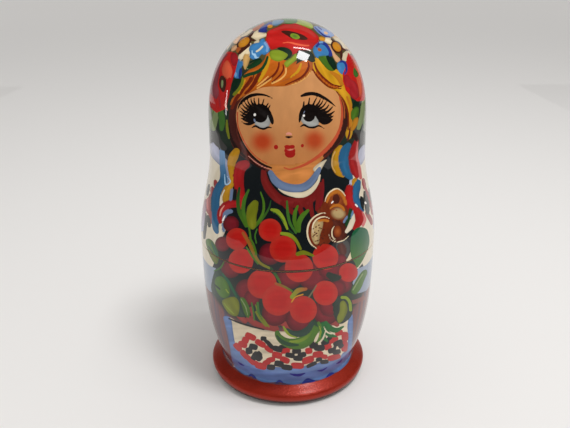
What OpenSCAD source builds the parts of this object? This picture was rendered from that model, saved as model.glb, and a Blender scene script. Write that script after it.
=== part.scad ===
// Nesting dolls turned from limewood on a lathe, seven to the set.
// Six dolls are hollow and part at the belly into a bottom half with a spigot and a top half with a socket.
// The seventh and smallest doll is solid. Each doll stands on the floor of the next larger bottom half.
// Z is the common axis, Z = 0 is the table, and the painted faces look along -Y.
// All sizes are those of the largest doll, and the others are the same doll on a smaller scale.

/* [Outline] */
// Height of the largest doll
doll_h = 170; // [155:1:190]
// Radius of the belly at its fullest
belly_r = 41.1; // [38:0.1:46]
// Height of the belly at its fullest
belly_z = 74; // [70:1:84]
// How far the foot's rim lies inside the belly
foot_inset = 2.3; // [1:0.1:4.5]
// How far the foot's rim stands out from the body above it
foot_flare = 5.9; // [4.5:0.1:7.5]
// Height of the foot's rim at its fullest
rim_z = 5; // [3.5:0.1:6]
// How far the foot draws in under its rim
foot_tuck = 4.4; // [2:0.1:6]
// Height at which the body leaves the foot
foot_h = 10; // [8:0.1:12]
// Radius of the neck
neck_r = 35.1; // [32:0.1:38]
// Height of the neck
neck_z = 115; // [105:1:120]
// Radius of the head
head_r = 35; // [32:0.1:38]
// Height of the head at its fullest
head_z = 124; // [121:1:134]

/* [Halves] */
// Height of the seam between the two halves
seam_z = 71.8; // [64:0.1:80]
// Length of the spigot above the seam
spigot_h = 9; // [6:0.5:13]
// Wall of the spigot
spigot_wall = 3.2; // [2:0.1:5]
// Chamfer on the spigot's end and in the socket's mouth
spigot_lead = 0.8; // [0.3:0.1:1.5]
// Radial clearance between spigot and socket, the same on every doll
fit_gap = 0.12; // [0.05:0.01:0.2]
// Open hairline at the seam, the same on every doll
seam_gap = 0.2; // [0.1:0.05:0.4]
// Room left over the spigot's end inside the socket
socket_room = 0.6; // [0.3:0.1:1.5]

/* [Nest] */
// Size of each doll as a share of the one around it
nest_share = 0.77; // [0.72:0.01:0.79]
// Clearance around the doll inside
nest_gap = 1.6; // [0.8:0.1:2.6]
// Clearance over the head of the doll inside
head_gap = 2.5; // [1.5:0.1:4]
// Clearance under the foot of the doll inside, the same on every doll
stand_gap = 0.1; // [0.05:0.05:0.2]
// Wall of the bottom half beside the floor of its hollow
floor_wall = 3.6; // [2.5:0.1:5]
// Rounding between the hollow's floor and its wall
floor_round = 3; // [1:0.1:3.5]

/* [Hidden] */
// Counts and shares that give the curves their character
hollow_count = 6;
body_swell_share = 3.33;
head_fullness_share = 2.64;
arc_steps = 9;
body_steps = 14;
shoulder_steps = 14;
neck_steps = 3;
dome_steps = 18;
$fn = 128;

function bottom_name(k) = str("doll_", k, "_bottom");
function top_name(k) = str("doll_", k, "_top");
solid_name = str("doll_", hollow_count + 1, "_solid");

// Radii of the foot and of the body above it
foot_r = belly_r - foot_inset;
waist_r = foot_r - foot_flare;

// Radii where one doll meets the next, on the scale of the largest doll
bore_r = nest_share * belly_r + nest_gap;
spigot_r = bore_r + spigot_wall;
pocket_r = nest_share * foot_r + nest_gap;

// The hollow's floor lies as low as the narrowing body leaves its wall whole
floor_rise_share = pow((belly_r - pocket_r - floor_wall) / (belly_r - waist_r), 1 / body_swell_share);
floor_z = belly_z - (belly_z - foot_h) * floor_rise_share;
spigot_end_z = seam_z + spigot_h;
socket_end_z = spigot_end_z + socket_room;

// Scale of doll k, and the height at which it stands inside the others
function doll_scale(k) = pow(nest_share, k - 1);
function stand_z(k) = k == 1 ? 0 : stand_z(k - 1) + doll_scale(k - 1) * floor_z + stand_gap;

// An easing curve from 0 to 1, level at both ends
function ease(t) = t * t * (3 - 2 * t);

// Outside radius at height z, from the foot to the head's fullest part:
// a power curve up to the belly, and easing curves over the shoulder and up the neck
function skin_r(z) =
    z < belly_z ? belly_r - (belly_r - waist_r) * pow((belly_z - z) / (belly_z - foot_h), body_swell_share)
    : z < neck_z ? belly_r + (neck_r - belly_r) * ease((z - belly_z) / (neck_z - belly_z))
    : neck_r + (head_r - neck_r) * ease(min(1, (z - neck_z) / (head_z - neck_z)));

// Radius of the hollow at height z: the outside of the doll within it, and the clearance
function hollow_r(z) = nest_share * skin_r((z - floor_z) / nest_share) + nest_gap;

function skin(z0, z1, steps) =
    [for (i = [0 : steps]) let (z = z0 + (z1 - z0) * i / steps) [skin_r(z), z]];

function hollow(z0, z1, steps) =
    [for (i = [0 : steps]) let (z = z0 + (z1 - z0) * i / steps) [hollow_r(z), z]];

// A squared dome of radius r and height h that stands at height z and closes on the axis
function dome(r, z, h) =
    [for (i = [1 : dome_steps]) let (u = sin(90 * i / dome_steps))
        [r * sqrt(max(0, 1 - pow(u, head_fullness_share))), z + h * u]];

// The foot's upper side: an easing curve from the rim up to the body
function flare(steps) =
    [for (i = [0 : steps]) let (t = i / steps)
        [foot_r - foot_flare * ease(t), rim_z + (foot_h - rim_z) * t]];

// An arc of an ellipse about a centre, with its two radii
function arc(centre, radii, from, to) =
    [for (i = [0 : arc_steps]) let (a = from + (to - from) * i / arc_steps)
        centre + [radii[0] * cos(a), radii[1] * sin(a)]];

function but_last(points) = [for (i = [0 : len(points) - 2]) points[i]];

function reversed(points) = [for (i = [len(points) - 1 : -1 : 0]) points[i]];

// The foot swells from its underside to the rim by a quarter of an ellipse, and sweeps up from there to the body
foot = concat(
    [[0, 0]],
    but_last(arc([foot_r - foot_tuck, rim_z], [foot_tuck, rim_z], -90, 0)),
    but_last(flare(arc_steps)));

head = concat(
    skin(belly_z, neck_z, shoulder_steps),
    skin(neck_z, head_z, neck_steps),
    dome(head_r, head_z, doll_h - head_z));

// The hollow of a bottom half, from the spigot's end down to the floor
pocket_corner = [pocket_r - floor_round, floor_z + floor_round];
pocket = concat(
    [[bore_r, spigot_end_z], [bore_r, seam_z]],
    arc(pocket_corner, [floor_round, floor_round], 0, -90),
    [[0, floor_z]]);

// The hollow of a top half, from the crown down to the socket's end
hollow_neck_z = floor_z + nest_share * neck_z;
hollow_head_z = floor_z + nest_share * head_z;
crown = reversed(concat(
    hollow(socket_end_z, hollow_neck_z, shoulder_steps),
    hollow(hollow_neck_z, hollow_head_z, neck_steps),
    dome(hollow_r(hollow_head_z), hollow_head_z, nest_share * (doll_h - head_z) + head_gap)));

// Bottom half of doll k: foot, body, shoulder of the seam, spigot and pocket
module bottom_half(k) {
    s = doll_scale(k);
    shoulder_z = seam_z - seam_gap / 2 / s;
    spigot = [
        [spigot_r, shoulder_z],
        [spigot_r, spigot_end_z - spigot_lead],
        [spigot_r - spigot_lead, spigot_end_z],
    ];
    color("firebrick")
        translate([0, 0, stand_z(k)])
            rotate_extrude()
                polygon(s * concat(foot, skin(foot_h, shoulder_z, body_steps), spigot, pocket));
}

// Top half of doll k: lip of the seam, shoulders, head, hollow and socket
module top_half(k) {
    s = doll_scale(k);
    lip_z = seam_z + seam_gap / 2 / s;
    socket_r = spigot_r + fit_gap / s;
    socket = [
        [socket_r, socket_end_z],
        [socket_r, lip_z + spigot_lead],
        [socket_r + spigot_lead, lip_z],
    ];
    color("indianred")
        translate([0, 0, stand_z(k)])
            rotate_extrude()
                polygon(s * concat(skin(lip_z, belly_z, neck_steps), head, crown, socket));
}

// The smallest doll, solid from foot to crown
module solid_doll() {
    k = hollow_count + 1;
    color("firebrick")
        translate([0, 0, stand_z(k)])
            rotate_extrude()
                polygon(doll_scale(k) * concat(foot, skin(foot_h, belly_z, body_steps), head));
}

for (k = [1 : hollow_count]) {
    bottom_half(k);
    top_half(k);
}
solid_doll();
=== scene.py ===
# %% [markdown]
# ## A painted nesting doll
#
# This lesson dresses a set of seven turned wooden dolls, painted by hand and lacquered. Every piece
# made here rides on one of those bodies and takes its place, so that the set can still be opened.
#
# First come the imports and the imported model, before anything is changed.

# %% Load the imported model
import bpy
import numpy as np
from mathutils import Matrix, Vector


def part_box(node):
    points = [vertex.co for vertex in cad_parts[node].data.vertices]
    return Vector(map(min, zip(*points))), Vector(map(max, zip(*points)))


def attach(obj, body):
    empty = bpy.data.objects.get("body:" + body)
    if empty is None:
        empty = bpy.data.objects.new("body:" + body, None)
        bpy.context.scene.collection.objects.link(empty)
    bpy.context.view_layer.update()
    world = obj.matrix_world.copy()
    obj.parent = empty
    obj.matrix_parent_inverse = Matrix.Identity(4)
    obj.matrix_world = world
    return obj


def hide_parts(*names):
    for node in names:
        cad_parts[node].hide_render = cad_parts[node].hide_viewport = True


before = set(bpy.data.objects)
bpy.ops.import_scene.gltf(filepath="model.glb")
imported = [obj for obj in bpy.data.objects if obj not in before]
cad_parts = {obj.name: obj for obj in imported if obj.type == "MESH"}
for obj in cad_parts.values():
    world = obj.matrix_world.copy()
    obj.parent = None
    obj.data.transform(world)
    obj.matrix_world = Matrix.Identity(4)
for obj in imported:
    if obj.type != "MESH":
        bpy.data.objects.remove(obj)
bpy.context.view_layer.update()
MM = 0.001


# %% [markdown]
# ## The outline
#
# A nesting doll is turned on a lathe, so one curve is enough: how far the skin lies from the axis at each
# height. It could be a Bezier curve spun by a Screw modifier. A function is used instead, because the
# painting also has to ask where the skin is. Sizes are in millimetres, for the largest doll. The curve is
# a sweep up from the foot, a swelling belly, a waist at the neck and a rounded head.

# %% The turned outline
DOLL_H = 170.0
FOOT_R = 38.8
FOOT_TUCK = 4.4
RIM_Z = 5.0
FOOT_H = 10.0
WAIST_R = 32.9
ENAMEL_Z = 8.8
BELLY_R = 41.1
BELLY_Z = 74.0
NECK_R = 35.1
NECK_Z = 115.0
HEAD_R = 35.0
HEAD_Z = 124.0
SEAM_Z = 71.8
BODY_SWELL = 3.33
HEAD_FULLNESS = 2.64
SLOPE_STEP = 0.05


def ease(t):
    """An easing curve from 0 to 1, level at both ends: three t squared minus two t cubed."""
    t = np.clip(t, 0, 1)
    return t * t * (3 - 2 * t)


def skin_r(z):
    """Outside radius at height z: an easing sweep, a power curve, two easing curves and a squared dome."""
    z = np.asarray(z, float)
    low = BELLY_R - (BELLY_R - WAIST_R) * np.clip((BELLY_Z - z) / (BELLY_Z - FOOT_H), 0, None) ** BODY_SWELL
    shoulder = BELLY_R + (NECK_R - BELLY_R) * ease((z - BELLY_Z) / (NECK_Z - BELLY_Z))
    neck = NECK_R + (HEAD_R - NECK_R) * ease((z - NECK_Z) / (HEAD_Z - NECK_Z))
    rise = np.clip((z - HEAD_Z) / (DOLL_H - HEAD_Z), 0, 1)
    dome = HEAD_R * np.sqrt(np.clip(1 - rise ** HEAD_FULLNESS, 0, None))
    flare = FOOT_R - (FOOT_R - WAIST_R) * ease((z - RIM_Z) / (FOOT_H - RIM_Z))
    return np.select([z < FOOT_H, z < BELLY_Z, z < NECK_Z, z < HEAD_Z], [flare, low, shoulder, neck], dome)


def on_skin(degrees, z):
    """Points on the skin at angles from the front, positive to the doll's left, and heights."""
    turn = np.radians(np.asarray(degrees, float))
    z = np.broadcast_to(np.asarray(z, float), turn.shape)
    r = skin_r(z)
    return np.stack([r * np.sin(turn), -r * np.cos(turn), z], -1)


def skin_normal(points):
    """Outward direction at points of the skin, one long across: the outline's slope tips it up or down."""
    z = points[..., 2]
    slope = (skin_r(z + SLOPE_STEP) - skin_r(z - SLOPE_STEP)) / (2 * SLOPE_STEP)
    turn = np.arctan2(points[..., 0], -points[..., 1])
    return np.stack([np.sin(turn), -np.cos(turn), -slope], -1)


print("widest at", BELLY_R, "mm, foot", FOOT_R, "mm")

# %% [markdown]
# ## The camera
#
# The painting is copied from a photograph. Its strokes could be placed by angle and height, but a place
# is far easier to read off the picture, so we have to know where the picture was taken from. `to_pixels`
# says where a point of the doll falls in it, and `seen_at` goes the other way: it follows the line of
# sight until it meets the skin.

# %% Where the photograph was taken from
FOCAL_PX = 618.0
MIDDLE = np.array([285.0, 214.0])
EYE = np.array([-1.23, -272.0, 190.25])
PITCH = 0.381
ROLL = 0.0042
AHEAD = np.array([0, np.cos(PITCH), -np.sin(PITCH)])
LEVEL_UP = np.array([0, np.sin(PITCH), np.cos(PITCH)])
LEVEL_RIGHT = np.array([1.0, 0, 0])
RIGHT = LEVEL_RIGHT * np.cos(ROLL) - LEVEL_UP * np.sin(ROLL)
ABOVE = LEVEL_UP * np.cos(ROLL) + LEVEL_RIGHT * np.sin(ROLL)
# a line of sight is walked along in steps from before the doll to behind it
WALK = np.linspace(170, 360, 400)
OUTSIDE = 9.0


def to_pixels(points):
    """Where points fall in the photograph, and how many millimetres one pixel spans there."""
    seen = points - EYE
    far = seen @ AHEAD
    across = (seen @ RIGHT) / far * FOCAL_PX
    down = -(seen @ ABOVE) / far * FOCAL_PX
    return np.stack([across, down], -1) + MIDDLE, far / FOCAL_PX


def seen_at(pixels):
    """The points of the skin that show at pixels: each ray's first crossing of the outline."""
    offset = (np.atleast_2d(np.asarray(pixels, float)) - MIDDLE) / FOCAL_PX
    ray = AHEAD + offset[:, :1] * RIGHT - offset[:, 1:] * ABOVE
    walk = EYE + ray[:, None, :] * WALK[None, :, None]
    room = np.hypot(walk[..., 0], walk[..., 1]) - skin_r(walk[..., 2])
    room[walk[..., 2] > DOLL_H] = OUTSIDE
    inside = room < 0
    first = np.where(inside.any(1), inside.argmax(1), room.argmin(1))
    first = np.clip(first, 1, len(WALK) - 1)
    row = np.arange(len(ray))
    before, after = room[row, first - 1], room[row, first]
    mix = np.clip(before / np.where(before == after, 1, before - after), 0, 1)
    return walk[row, first - 1] * (1 - mix)[:, None] + walk[row, first] * mix[:, None]


print("the crown falls at pixel", np.round(to_pixels(np.array([[0, 0, DOLL_H]]))[0][0], 1))

# %% [markdown]
# ## Brushes
#
# Real paint has soft streaks, because a brush's hairs leave more of it in some places than in others. A
# noise texture could make streaks, but they would all run one way. Here they run along each stroke. The
# helpers mix a paint, draw a smooth curve through a few points, and make streaks from the way along that
# curve and across it.

# %% Brushes
COATS = 9
# how far outside a mark its depth is still kept, in millimetres
MARGIN = 1.6
# strength of the streaks, and how much darker a mark's edge is
STREAK = 0.24
EDGE_SHADE = 0.3
# what a pixel spans on the doll's front, in millimetres
PIXEL_MM = 0.45
# large odd numbers that scatter the lattice's corners
SCATTER_ALONG, SCATTER_ACROSS, SCATTER_SEED, SCATTER = 127.1, 311.7, 74.7, 43758.5453
# streaks of two sizes: millimetres along and across, and share
COARSE_STREAK = (9, 1.5, 0.6)
FINE_STREAK = (5, 0.75, 0.5)
NEXT_SEED = 31
STREAK_GLOW = 0.04


def colour(red, green, blue):
    """A paint written as 0 to 255, turned into linear light by undoing the screen's curve."""
    part = np.array([red, green, blue]) / 255
    return np.where(part <= 0.04045, part / 12.92, ((part + 0.055) / 1.055) ** 2.4)


def smooth(points, closed=False, per=6):
    """A Catmull-Rom curve: cubic pieces that pass every point with the slope of its neighbours."""
    p = np.asarray(points, float)
    if len(p) < 3 and not closed:
        t = np.linspace(0, 1, per + 1)[:, None]
        return p[:1] * (1 - t) + p[-1:] * t
    if closed:
        q = np.concatenate([p[-1:], p, p[:2]])
    else:
        q = np.concatenate([2 * p[:1] - p[1:2], p, 2 * p[-1:] - p[-2:-1]])
    a, b, c, d = (q[i:len(q) - 3 + i, None, :] for i in range(4))
    t = np.linspace(0, 1, per, endpoint=False)[None, :, None]
    bend = 2 * a - 5 * b + 4 * c - d
    twist = 3 * b - a - 3 * c + d
    piece = 0.5 * (2 * b + (c - a) * t + bend * t ** 2 + twist * t ** 3)
    path = piece.reshape(-1, p.shape[1])
    return path if closed else np.concatenate([path, p[-1:]])


def hairs(along, across, seed):
    """Streaks of a brush's hairs, from -1 to 1: random heights at a lattice's corners, eased between them."""
    cell = np.stack([along, across])
    low = np.floor(cell)
    u, v = ease(cell - low)

    def corner(i, j):
        """The height at one corner of each cell: the digits after the point of a large sine."""
        angle = (low[0] + i) * SCATTER_ALONG + (low[1] + j) * SCATTER_ACROSS + seed * SCATTER_SEED
        wave = np.sin(angle) * SCATTER
        return wave - np.floor(wave)

    near = corner(0, 0) * (1 - u) + corner(1, 0) * u
    far = corner(0, 1) * (1 - u) + corner(1, 1) * u
    return 2 * (near * (1 - v) + far * v) - 1


def brushed(tint, along, across, seed, strength=1.0):
    """A tint with paler and darker streaks, at millimetres along and across the brush's way."""
    streak = 0
    for k, (length, breadth, share) in enumerate((COARSE_STREAK, FINE_STREAK)):
        streak = streak + share * hairs(along / length, across / breadth, seed + k * NEXT_SEED)
    streak = (STREAK * strength * streak)[:, None]
    return tint * (1 + streak) + STREAK_GLOW * np.clip(streak, 0, None)


def between(share, tints):
    """The tint at each share of the way through a row of tints."""
    tints = np.atleast_2d(np.array(tints))
    stops = np.linspace(0, 1, len(tints))
    return np.stack([np.interp(share, stops, tints[:, i]) for i in range(3)], -1)


def to_segments(points, start, run):
    """Each point's offset from every segment's start, its share along the segment and its distance to it."""
    away = points[:, None, :] - start
    along = np.clip((away * run).sum(-1) / np.maximum((run * run).sum(-1), 1e-9), 0, 1)
    return away, along, np.linalg.norm(away - along[..., None] * run, axis=-1)


def inside_depth(points, edge):
    """Distance to a closed outline, positive inside by counting crossings of a level ray."""
    start, run = edge, np.roll(edge, -1, axis=0) - edge
    gap = to_segments(points, start, run)[2].min(1)
    y0, y1 = start[:, 1], start[:, 1] + run[:, 1]
    py = points[:, 1:2]
    spans = (y0 > py) != (y1 > py)
    cross = start[:, 0] + (py - y0) * run[:, 0] / np.where(run[:, 1] == 0, 1e-9, run[:, 1])
    odd = (spans & (points[:, :1] < cross)).sum(1) % 2 == 1
    return np.where(odd, gap, -gap)


print("streaks of", COARSE_STREAK[1], "and", FINE_STREAK[1], "mm")

# %% [markdown]
# ## The canvas
#
# The painting could be an image, but that would have to be drawn elsewhere first. Here the canvas is the
# skin itself, the points of one piece's mesh, and paint is laid on it in nine coats. For each coat every
# point keeps two things: how deep it lies inside the nearest brush mark, and that mark's colour. Keeping
# a depth instead of a plain yes or no gives crisp edges later, between the points of the mesh.

# %% A canvas of points
# room kept round an outline, in pixels or degrees, so that its depth fades outside
OUTLINE_ROOM = 4
# streaks grow with the brush's radius, and thin brushes leave none
STREAK_WIDTH = 1.2
STREAK_START = 0.35
THIN_BRUSH = 0.1
# streaks of an oval, full from this many pixels of radius on
OVAL_STREAK = 0.4
OVAL_FULL = 4
# breadth of an area's darker rim, in millimetres
AREA_RIM = 1.2


class Canvas:
    """The skin of one piece as points, with a depth and a tint for each coat of paint.

    Depth is how far inside the nearest brush mark a point lies, in millimetres, and is negative outside it.
    """

    def __init__(self, points):
        """Note where each point falls in the photograph, and start with bare coats."""
        self.points = points
        self.pixels, self.grain = to_pixels(points)
        self.facing = ((EYE - points) * skin_normal(points)).sum(1) > 0
        self.degrees = np.degrees(np.arctan2(points[:, 0], -points[:, 1]))
        self.depth = np.full((COATS, len(points)), -MARGIN)
        self.tint = np.zeros((COATS, len(points), 3))
        self.ground = np.zeros((len(points), 3))
        self.marks = 0

    def lay(self, coat, index, depth, tint):
        """Later marks cover earlier ones of a coat; outside all of them the nearest mark's tint stays."""
        self.marks += 1
        held = self.depth[coat, index]
        take = (depth > 0) | (depth > held)
        spot = index[take]
        self.depth[coat, spot] = np.maximum(held, depth)[take]
        self.tint[coat, spot] = np.broadcast_to(tint, (len(index), 3))[take]

    def brush(self, coat, path, width, tints, places=None, seen=True):
        """A stroke: brush radius less the distance to a path among places, with widths and tints along it."""
        out = np.array([0, 0, 1]) if places is not None else self.points * [1, 1, 0]
        places = self.points if places is None else places
        path = np.asarray(path, float)
        width = np.atleast_1d(np.asarray(width, float))
        radius = 0.5 * np.interp(np.linspace(0, 1, len(path)), np.linspace(0, 1, len(width)), width)
        middle = (path.min(0) + path.max(0)) / 2
        reach = np.linalg.norm(path - middle, axis=1).max() + radius.max() + MARGIN
        index = np.flatnonzero((((places - middle) ** 2).sum(1) < reach ** 2) & seen)
        if len(index) == 0:
            return
        start, run = path[:-1], path[1:] - path[:-1]
        away, along, gap = to_segments(places[index], start, run)
        depth = radius[:-1] + (radius[1:] - radius[:-1]) * along - gap
        best = depth.argmax(1)
        row = np.arange(len(index))
        along, gap = along[row, best], gap[row, best]
        tint = between((best + along) / (len(path) - 1), tints)
        length = np.linalg.norm(run, axis=1)
        passed = np.concatenate([[0], np.cumsum(length)])[best] + along * length[best]
        out = np.broadcast_to(out, places.shape)[index]
        across = gap * np.sign((np.cross(run[best], away[row, best]) * out).sum(1))
        wide = radius[best]
        strength = np.clip(wide / STREAK_WIDTH - STREAK_START, 0, 1)
        tint = brushed(tint, passed, across, self.marks, strength)
        edge = np.clip(np.abs(across) / np.maximum(wide, THIN_BRUSH), 0, 1)
        tint = tint * (1 - EDGE_SHADE * strength * edge ** 3)[:, None]
        self.lay(coat, index, depth[row, best], tint)

    def line(self, coat, pixels, width, *tints):
        """A stroke through pixels of the photograph, with its width in pixels too."""
        path = smooth(pixels)
        grain = to_pixels(seen_at(path))[1].mean()
        path = np.pad(path * grain, ((0, 0), (0, 1)))
        places = np.pad(self.pixels * grain, ((0, 0), (0, 1)))
        self.brush(coat, path, np.atleast_1d(width) * grain, tints, places, self.facing)

    def oval(self, coat, pixel, radii, tilt, *tints, corners=2.0):
        """An ellipse seen from the camera, tinted from its middle to its edge; tilt is clockwise degrees."""
        turn = np.radians(tilt)
        away = self.pixels - np.asarray(pixel, float)
        u = away @ [np.cos(turn), np.sin(turn)]
        v = away @ [-np.sin(turn), np.cos(turn)]
        ring = (np.abs(u / radii[0]) ** corners + np.abs(v / radii[1]) ** corners) ** (1 / corners)
        index = np.flatnonzero(self.facing & (ring < 1 + OUTLINE_ROOM / min(radii)))
        ring = ring[index]
        depth = (1 - ring) * min(radii) * self.grain[index]
        strength = OVAL_STREAK * np.clip(min(radii) / OVAL_FULL, 0, 1)
        tint = brushed(between(ring, tints), u[index] * PIXEL_MM, v[index] * PIXEL_MM, self.marks, strength)
        tint = tint * (1 - EDGE_SHADE * strength * np.clip(ring, 0, 1) ** 6)[:, None]
        self.lay(coat, index, depth, tint)

    def area(self, coat, outline, tint):
        """A filled outline in pixels, streaked along its longest way or tinted by a function of pixels."""
        edge = smooth(outline, closed=True, per=4)
        low, high = edge.min(0) - OUTLINE_ROOM, edge.max(0) + OUTLINE_ROOM
        index = np.flatnonzero(self.facing & ((self.pixels > low) & (self.pixels < high)).all(1))
        depth = inside_depth(self.pixels[index], edge) * self.grain[index]
        if callable(tint):
            tint = tint(self.pixels[index])
        else:
            away = (self.pixels[index] - edge.mean(0)) * PIXEL_MM
            along_way, across_way = np.linalg.svd(edge - edge.mean(0), full_matrices=False)[2]
            tint = np.broadcast_to(tint, (len(index), 3))
            tint = brushed(tint, away @ along_way, away @ across_way, self.marks)
            tint = tint * (1 - EDGE_SHADE * np.clip(1 - depth / AREA_RIM, 0, 1) ** 2)[:, None]
        self.lay(coat, index, depth, tint)

    def zone(self, coat, outline, tint):
        """A filled outline in degrees from the front and millimetres of height."""
        edge = np.asarray(outline, float)
        chart = np.stack([self.degrees, self.points[:, 2]], -1)
        low, high = edge.min(0) - OUTLINE_ROOM, edge.max(0) + OUTLINE_ROOM
        index = np.flatnonzero(((chart > low) & (chart < high)).all(1))
        scale = np.array([HEAD_R * np.pi / 180, 1])
        self.lay(coat, index, inside_depth(chart[index] * scale, edge * scale), tint)


print("canvas ready, with", COATS, "coats")


# %% [markdown]
# ## Inside the doll
#
# The bottom half has a spigot that plugs into a socket in the top half, with a little play. The hollow
# leaves room for the next doll, which is 0.77 of the size. The radii are worked out from that next doll
# outwards, so that changing the outline keeps the nest fitting.

# %% Sizes of the halves and the nest
SPIGOT_H = 9.0
SPIGOT_WALL = 3.2
SPIGOT_LEAD = 0.8
FIT_GAP = 0.12
SEAM_GAP = 0.2
SOCKET_ROOM = 0.6
NEST_SHARE = 0.77
NEST_GAP = 1.6
HEAD_GAP = 2.5
FLOOR_WALL = 3.6
FLOOR_ROUND = 3.0
BORE_R = NEST_SHARE * BELLY_R + NEST_GAP
SPIGOT_R = BORE_R + SPIGOT_WALL
POCKET_R = NEST_SHARE * FOOT_R + NEST_GAP
FLOOR_RISE_SHARE = ((BELLY_R - POCKET_R - FLOOR_WALL) / (BELLY_R - WAIST_R)) ** (1 / BODY_SWELL)
FLOOR_Z = BELLY_Z - (BELLY_Z - FOOT_H) * FLOOR_RISE_SHARE
SPIGOT_END = SEAM_Z + SPIGOT_H
SOCKET_END = SPIGOT_END + SOCKET_ROOM
print("pocket floor at", round(FLOOR_Z, 2), "mm, spigot", round(SPIGOT_R, 2), "mm")


# %% [markdown]
# ## The paints
#
# A painter mixes a set of colours and uses them all over the doll. Each paint is mixed once here, to
# match the tones of the photograph, and called by its name from here on, so that the lists below can be
# read as a painting.

# %% The paints
PAINT = {name: colour(*rgb) for name, rgb in {
    "vest": (18, 24, 27), "moss": (30, 46, 34), "thatch": (92, 82, 44), "skin": (208, 146, 92),
    "skin_low": (196, 126, 70), "neck": (208, 132, 66), "blush": (188, 60, 18), "rim": (196, 80, 48),
    "hair": (192, 96, 16), "gold": (206, 150, 20), "gold_low": (190, 118, 22), "straw": (232, 172, 92),
    "strand": (112, 32, 6), "umber": (88, 34, 24), "umber_low": (58, 24, 18), "soot": (38, 14, 10),
    "black": (22, 14, 12), "white": (250, 246, 240), "eye": (168, 168, 164), "eye_blue": (120, 134, 160),
    "lip": (172, 24, 18), "pink": (228, 150, 130), "blue": (36, 100, 142), "blue_light": (112, 158, 205),
    "sky": (165, 205, 235), "navy": (34, 50, 132), "steel": (96, 136, 168), "slate": (108, 128, 162),
    "lilac": (180, 182, 206), "cream": (224, 212, 188), "petal": (228, 210, 174),
    "peach": (216, 166, 120), "ivory": (222, 208, 178), "sun": (206, 136, 22), "brown": (70, 30, 18),
    "tan": (212, 166, 98), "rust": (165, 84, 34), "poppy": (190, 22, 18), "poppy_dim": (184, 46, 40),
    "poppy_deep": (165, 26, 34), "ember": (228, 92, 58), "leaf": (72, 114, 24),
    "leaf_light": (132, 152, 34), "leaf_dark": (24, 66, 34), "pine": (14, 46, 28),
    "olive": (116, 122, 18), "grass": (60, 108, 34), "sage": (132, 148, 98), "jade": (16, 92, 58),
    "berry": (184, 18, 10), "berry_low": (186, 44, 30), "wine": (122, 18, 32), "wine_dark": (84, 12, 22),
    "beads": (120, 24, 22), "ribbon_red": (168, 18, 20), "ribbon_gold": (190, 136, 14),
    "rose": (206, 104, 102), "cap": (152, 66, 24), "cap_light": (186, 108, 32), "gill": (184, 156, 108),
    "cocoa": (84, 34, 22), "apron": (216, 200, 172), "trim": (94, 124, 178), "dab_red": (182, 8, 6),
    "dab_black": (10, 8, 11), "cornflower": (58, 124, 180), "brick": (150, 52, 46),
    "dusk_rose": (150, 62, 72), "iron": (66, 66, 64), "rosewood": (158, 60, 60), "ash": (150, 152, 140),
    "periwinkle": (108, 136, 186), "lime": (150, 164, 52), "chestnut": (116, 42, 14),
    "maroon": (74, 26, 20), "spruce": (34, 62, 48), "emerald": (14, 100, 34), "mauve": (132, 72, 62),
    "violet": (76, 62, 84), "grey": (146, 158, 178), "fog": (112, 104, 78),
}.items()}


def mixed(names):
    """The paints called by these names, in order."""
    return [PAINT[name] for name in names.split()]


print(len(PAINT), "paints mixed")

# %% [markdown]
# ## What the picture shows
#
# The next cells are the painting itself, read off the photograph stroke by stroke. All places and widths
# are pixels of the photograph.
#
# - A stroke is a coat, the paints along it, the widths along it and its points.
# - An oval is a coat, the paints from the middle out, a centre, two radii and a tilt.
# - An area is a coat, a paint and an outline.
#
# The wreath comes first: poppies, cornflowers, daisies and leaves round the head. On the doll they are
# flat paint, so nothing is modelled, and each petal or leaf is one area.

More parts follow.
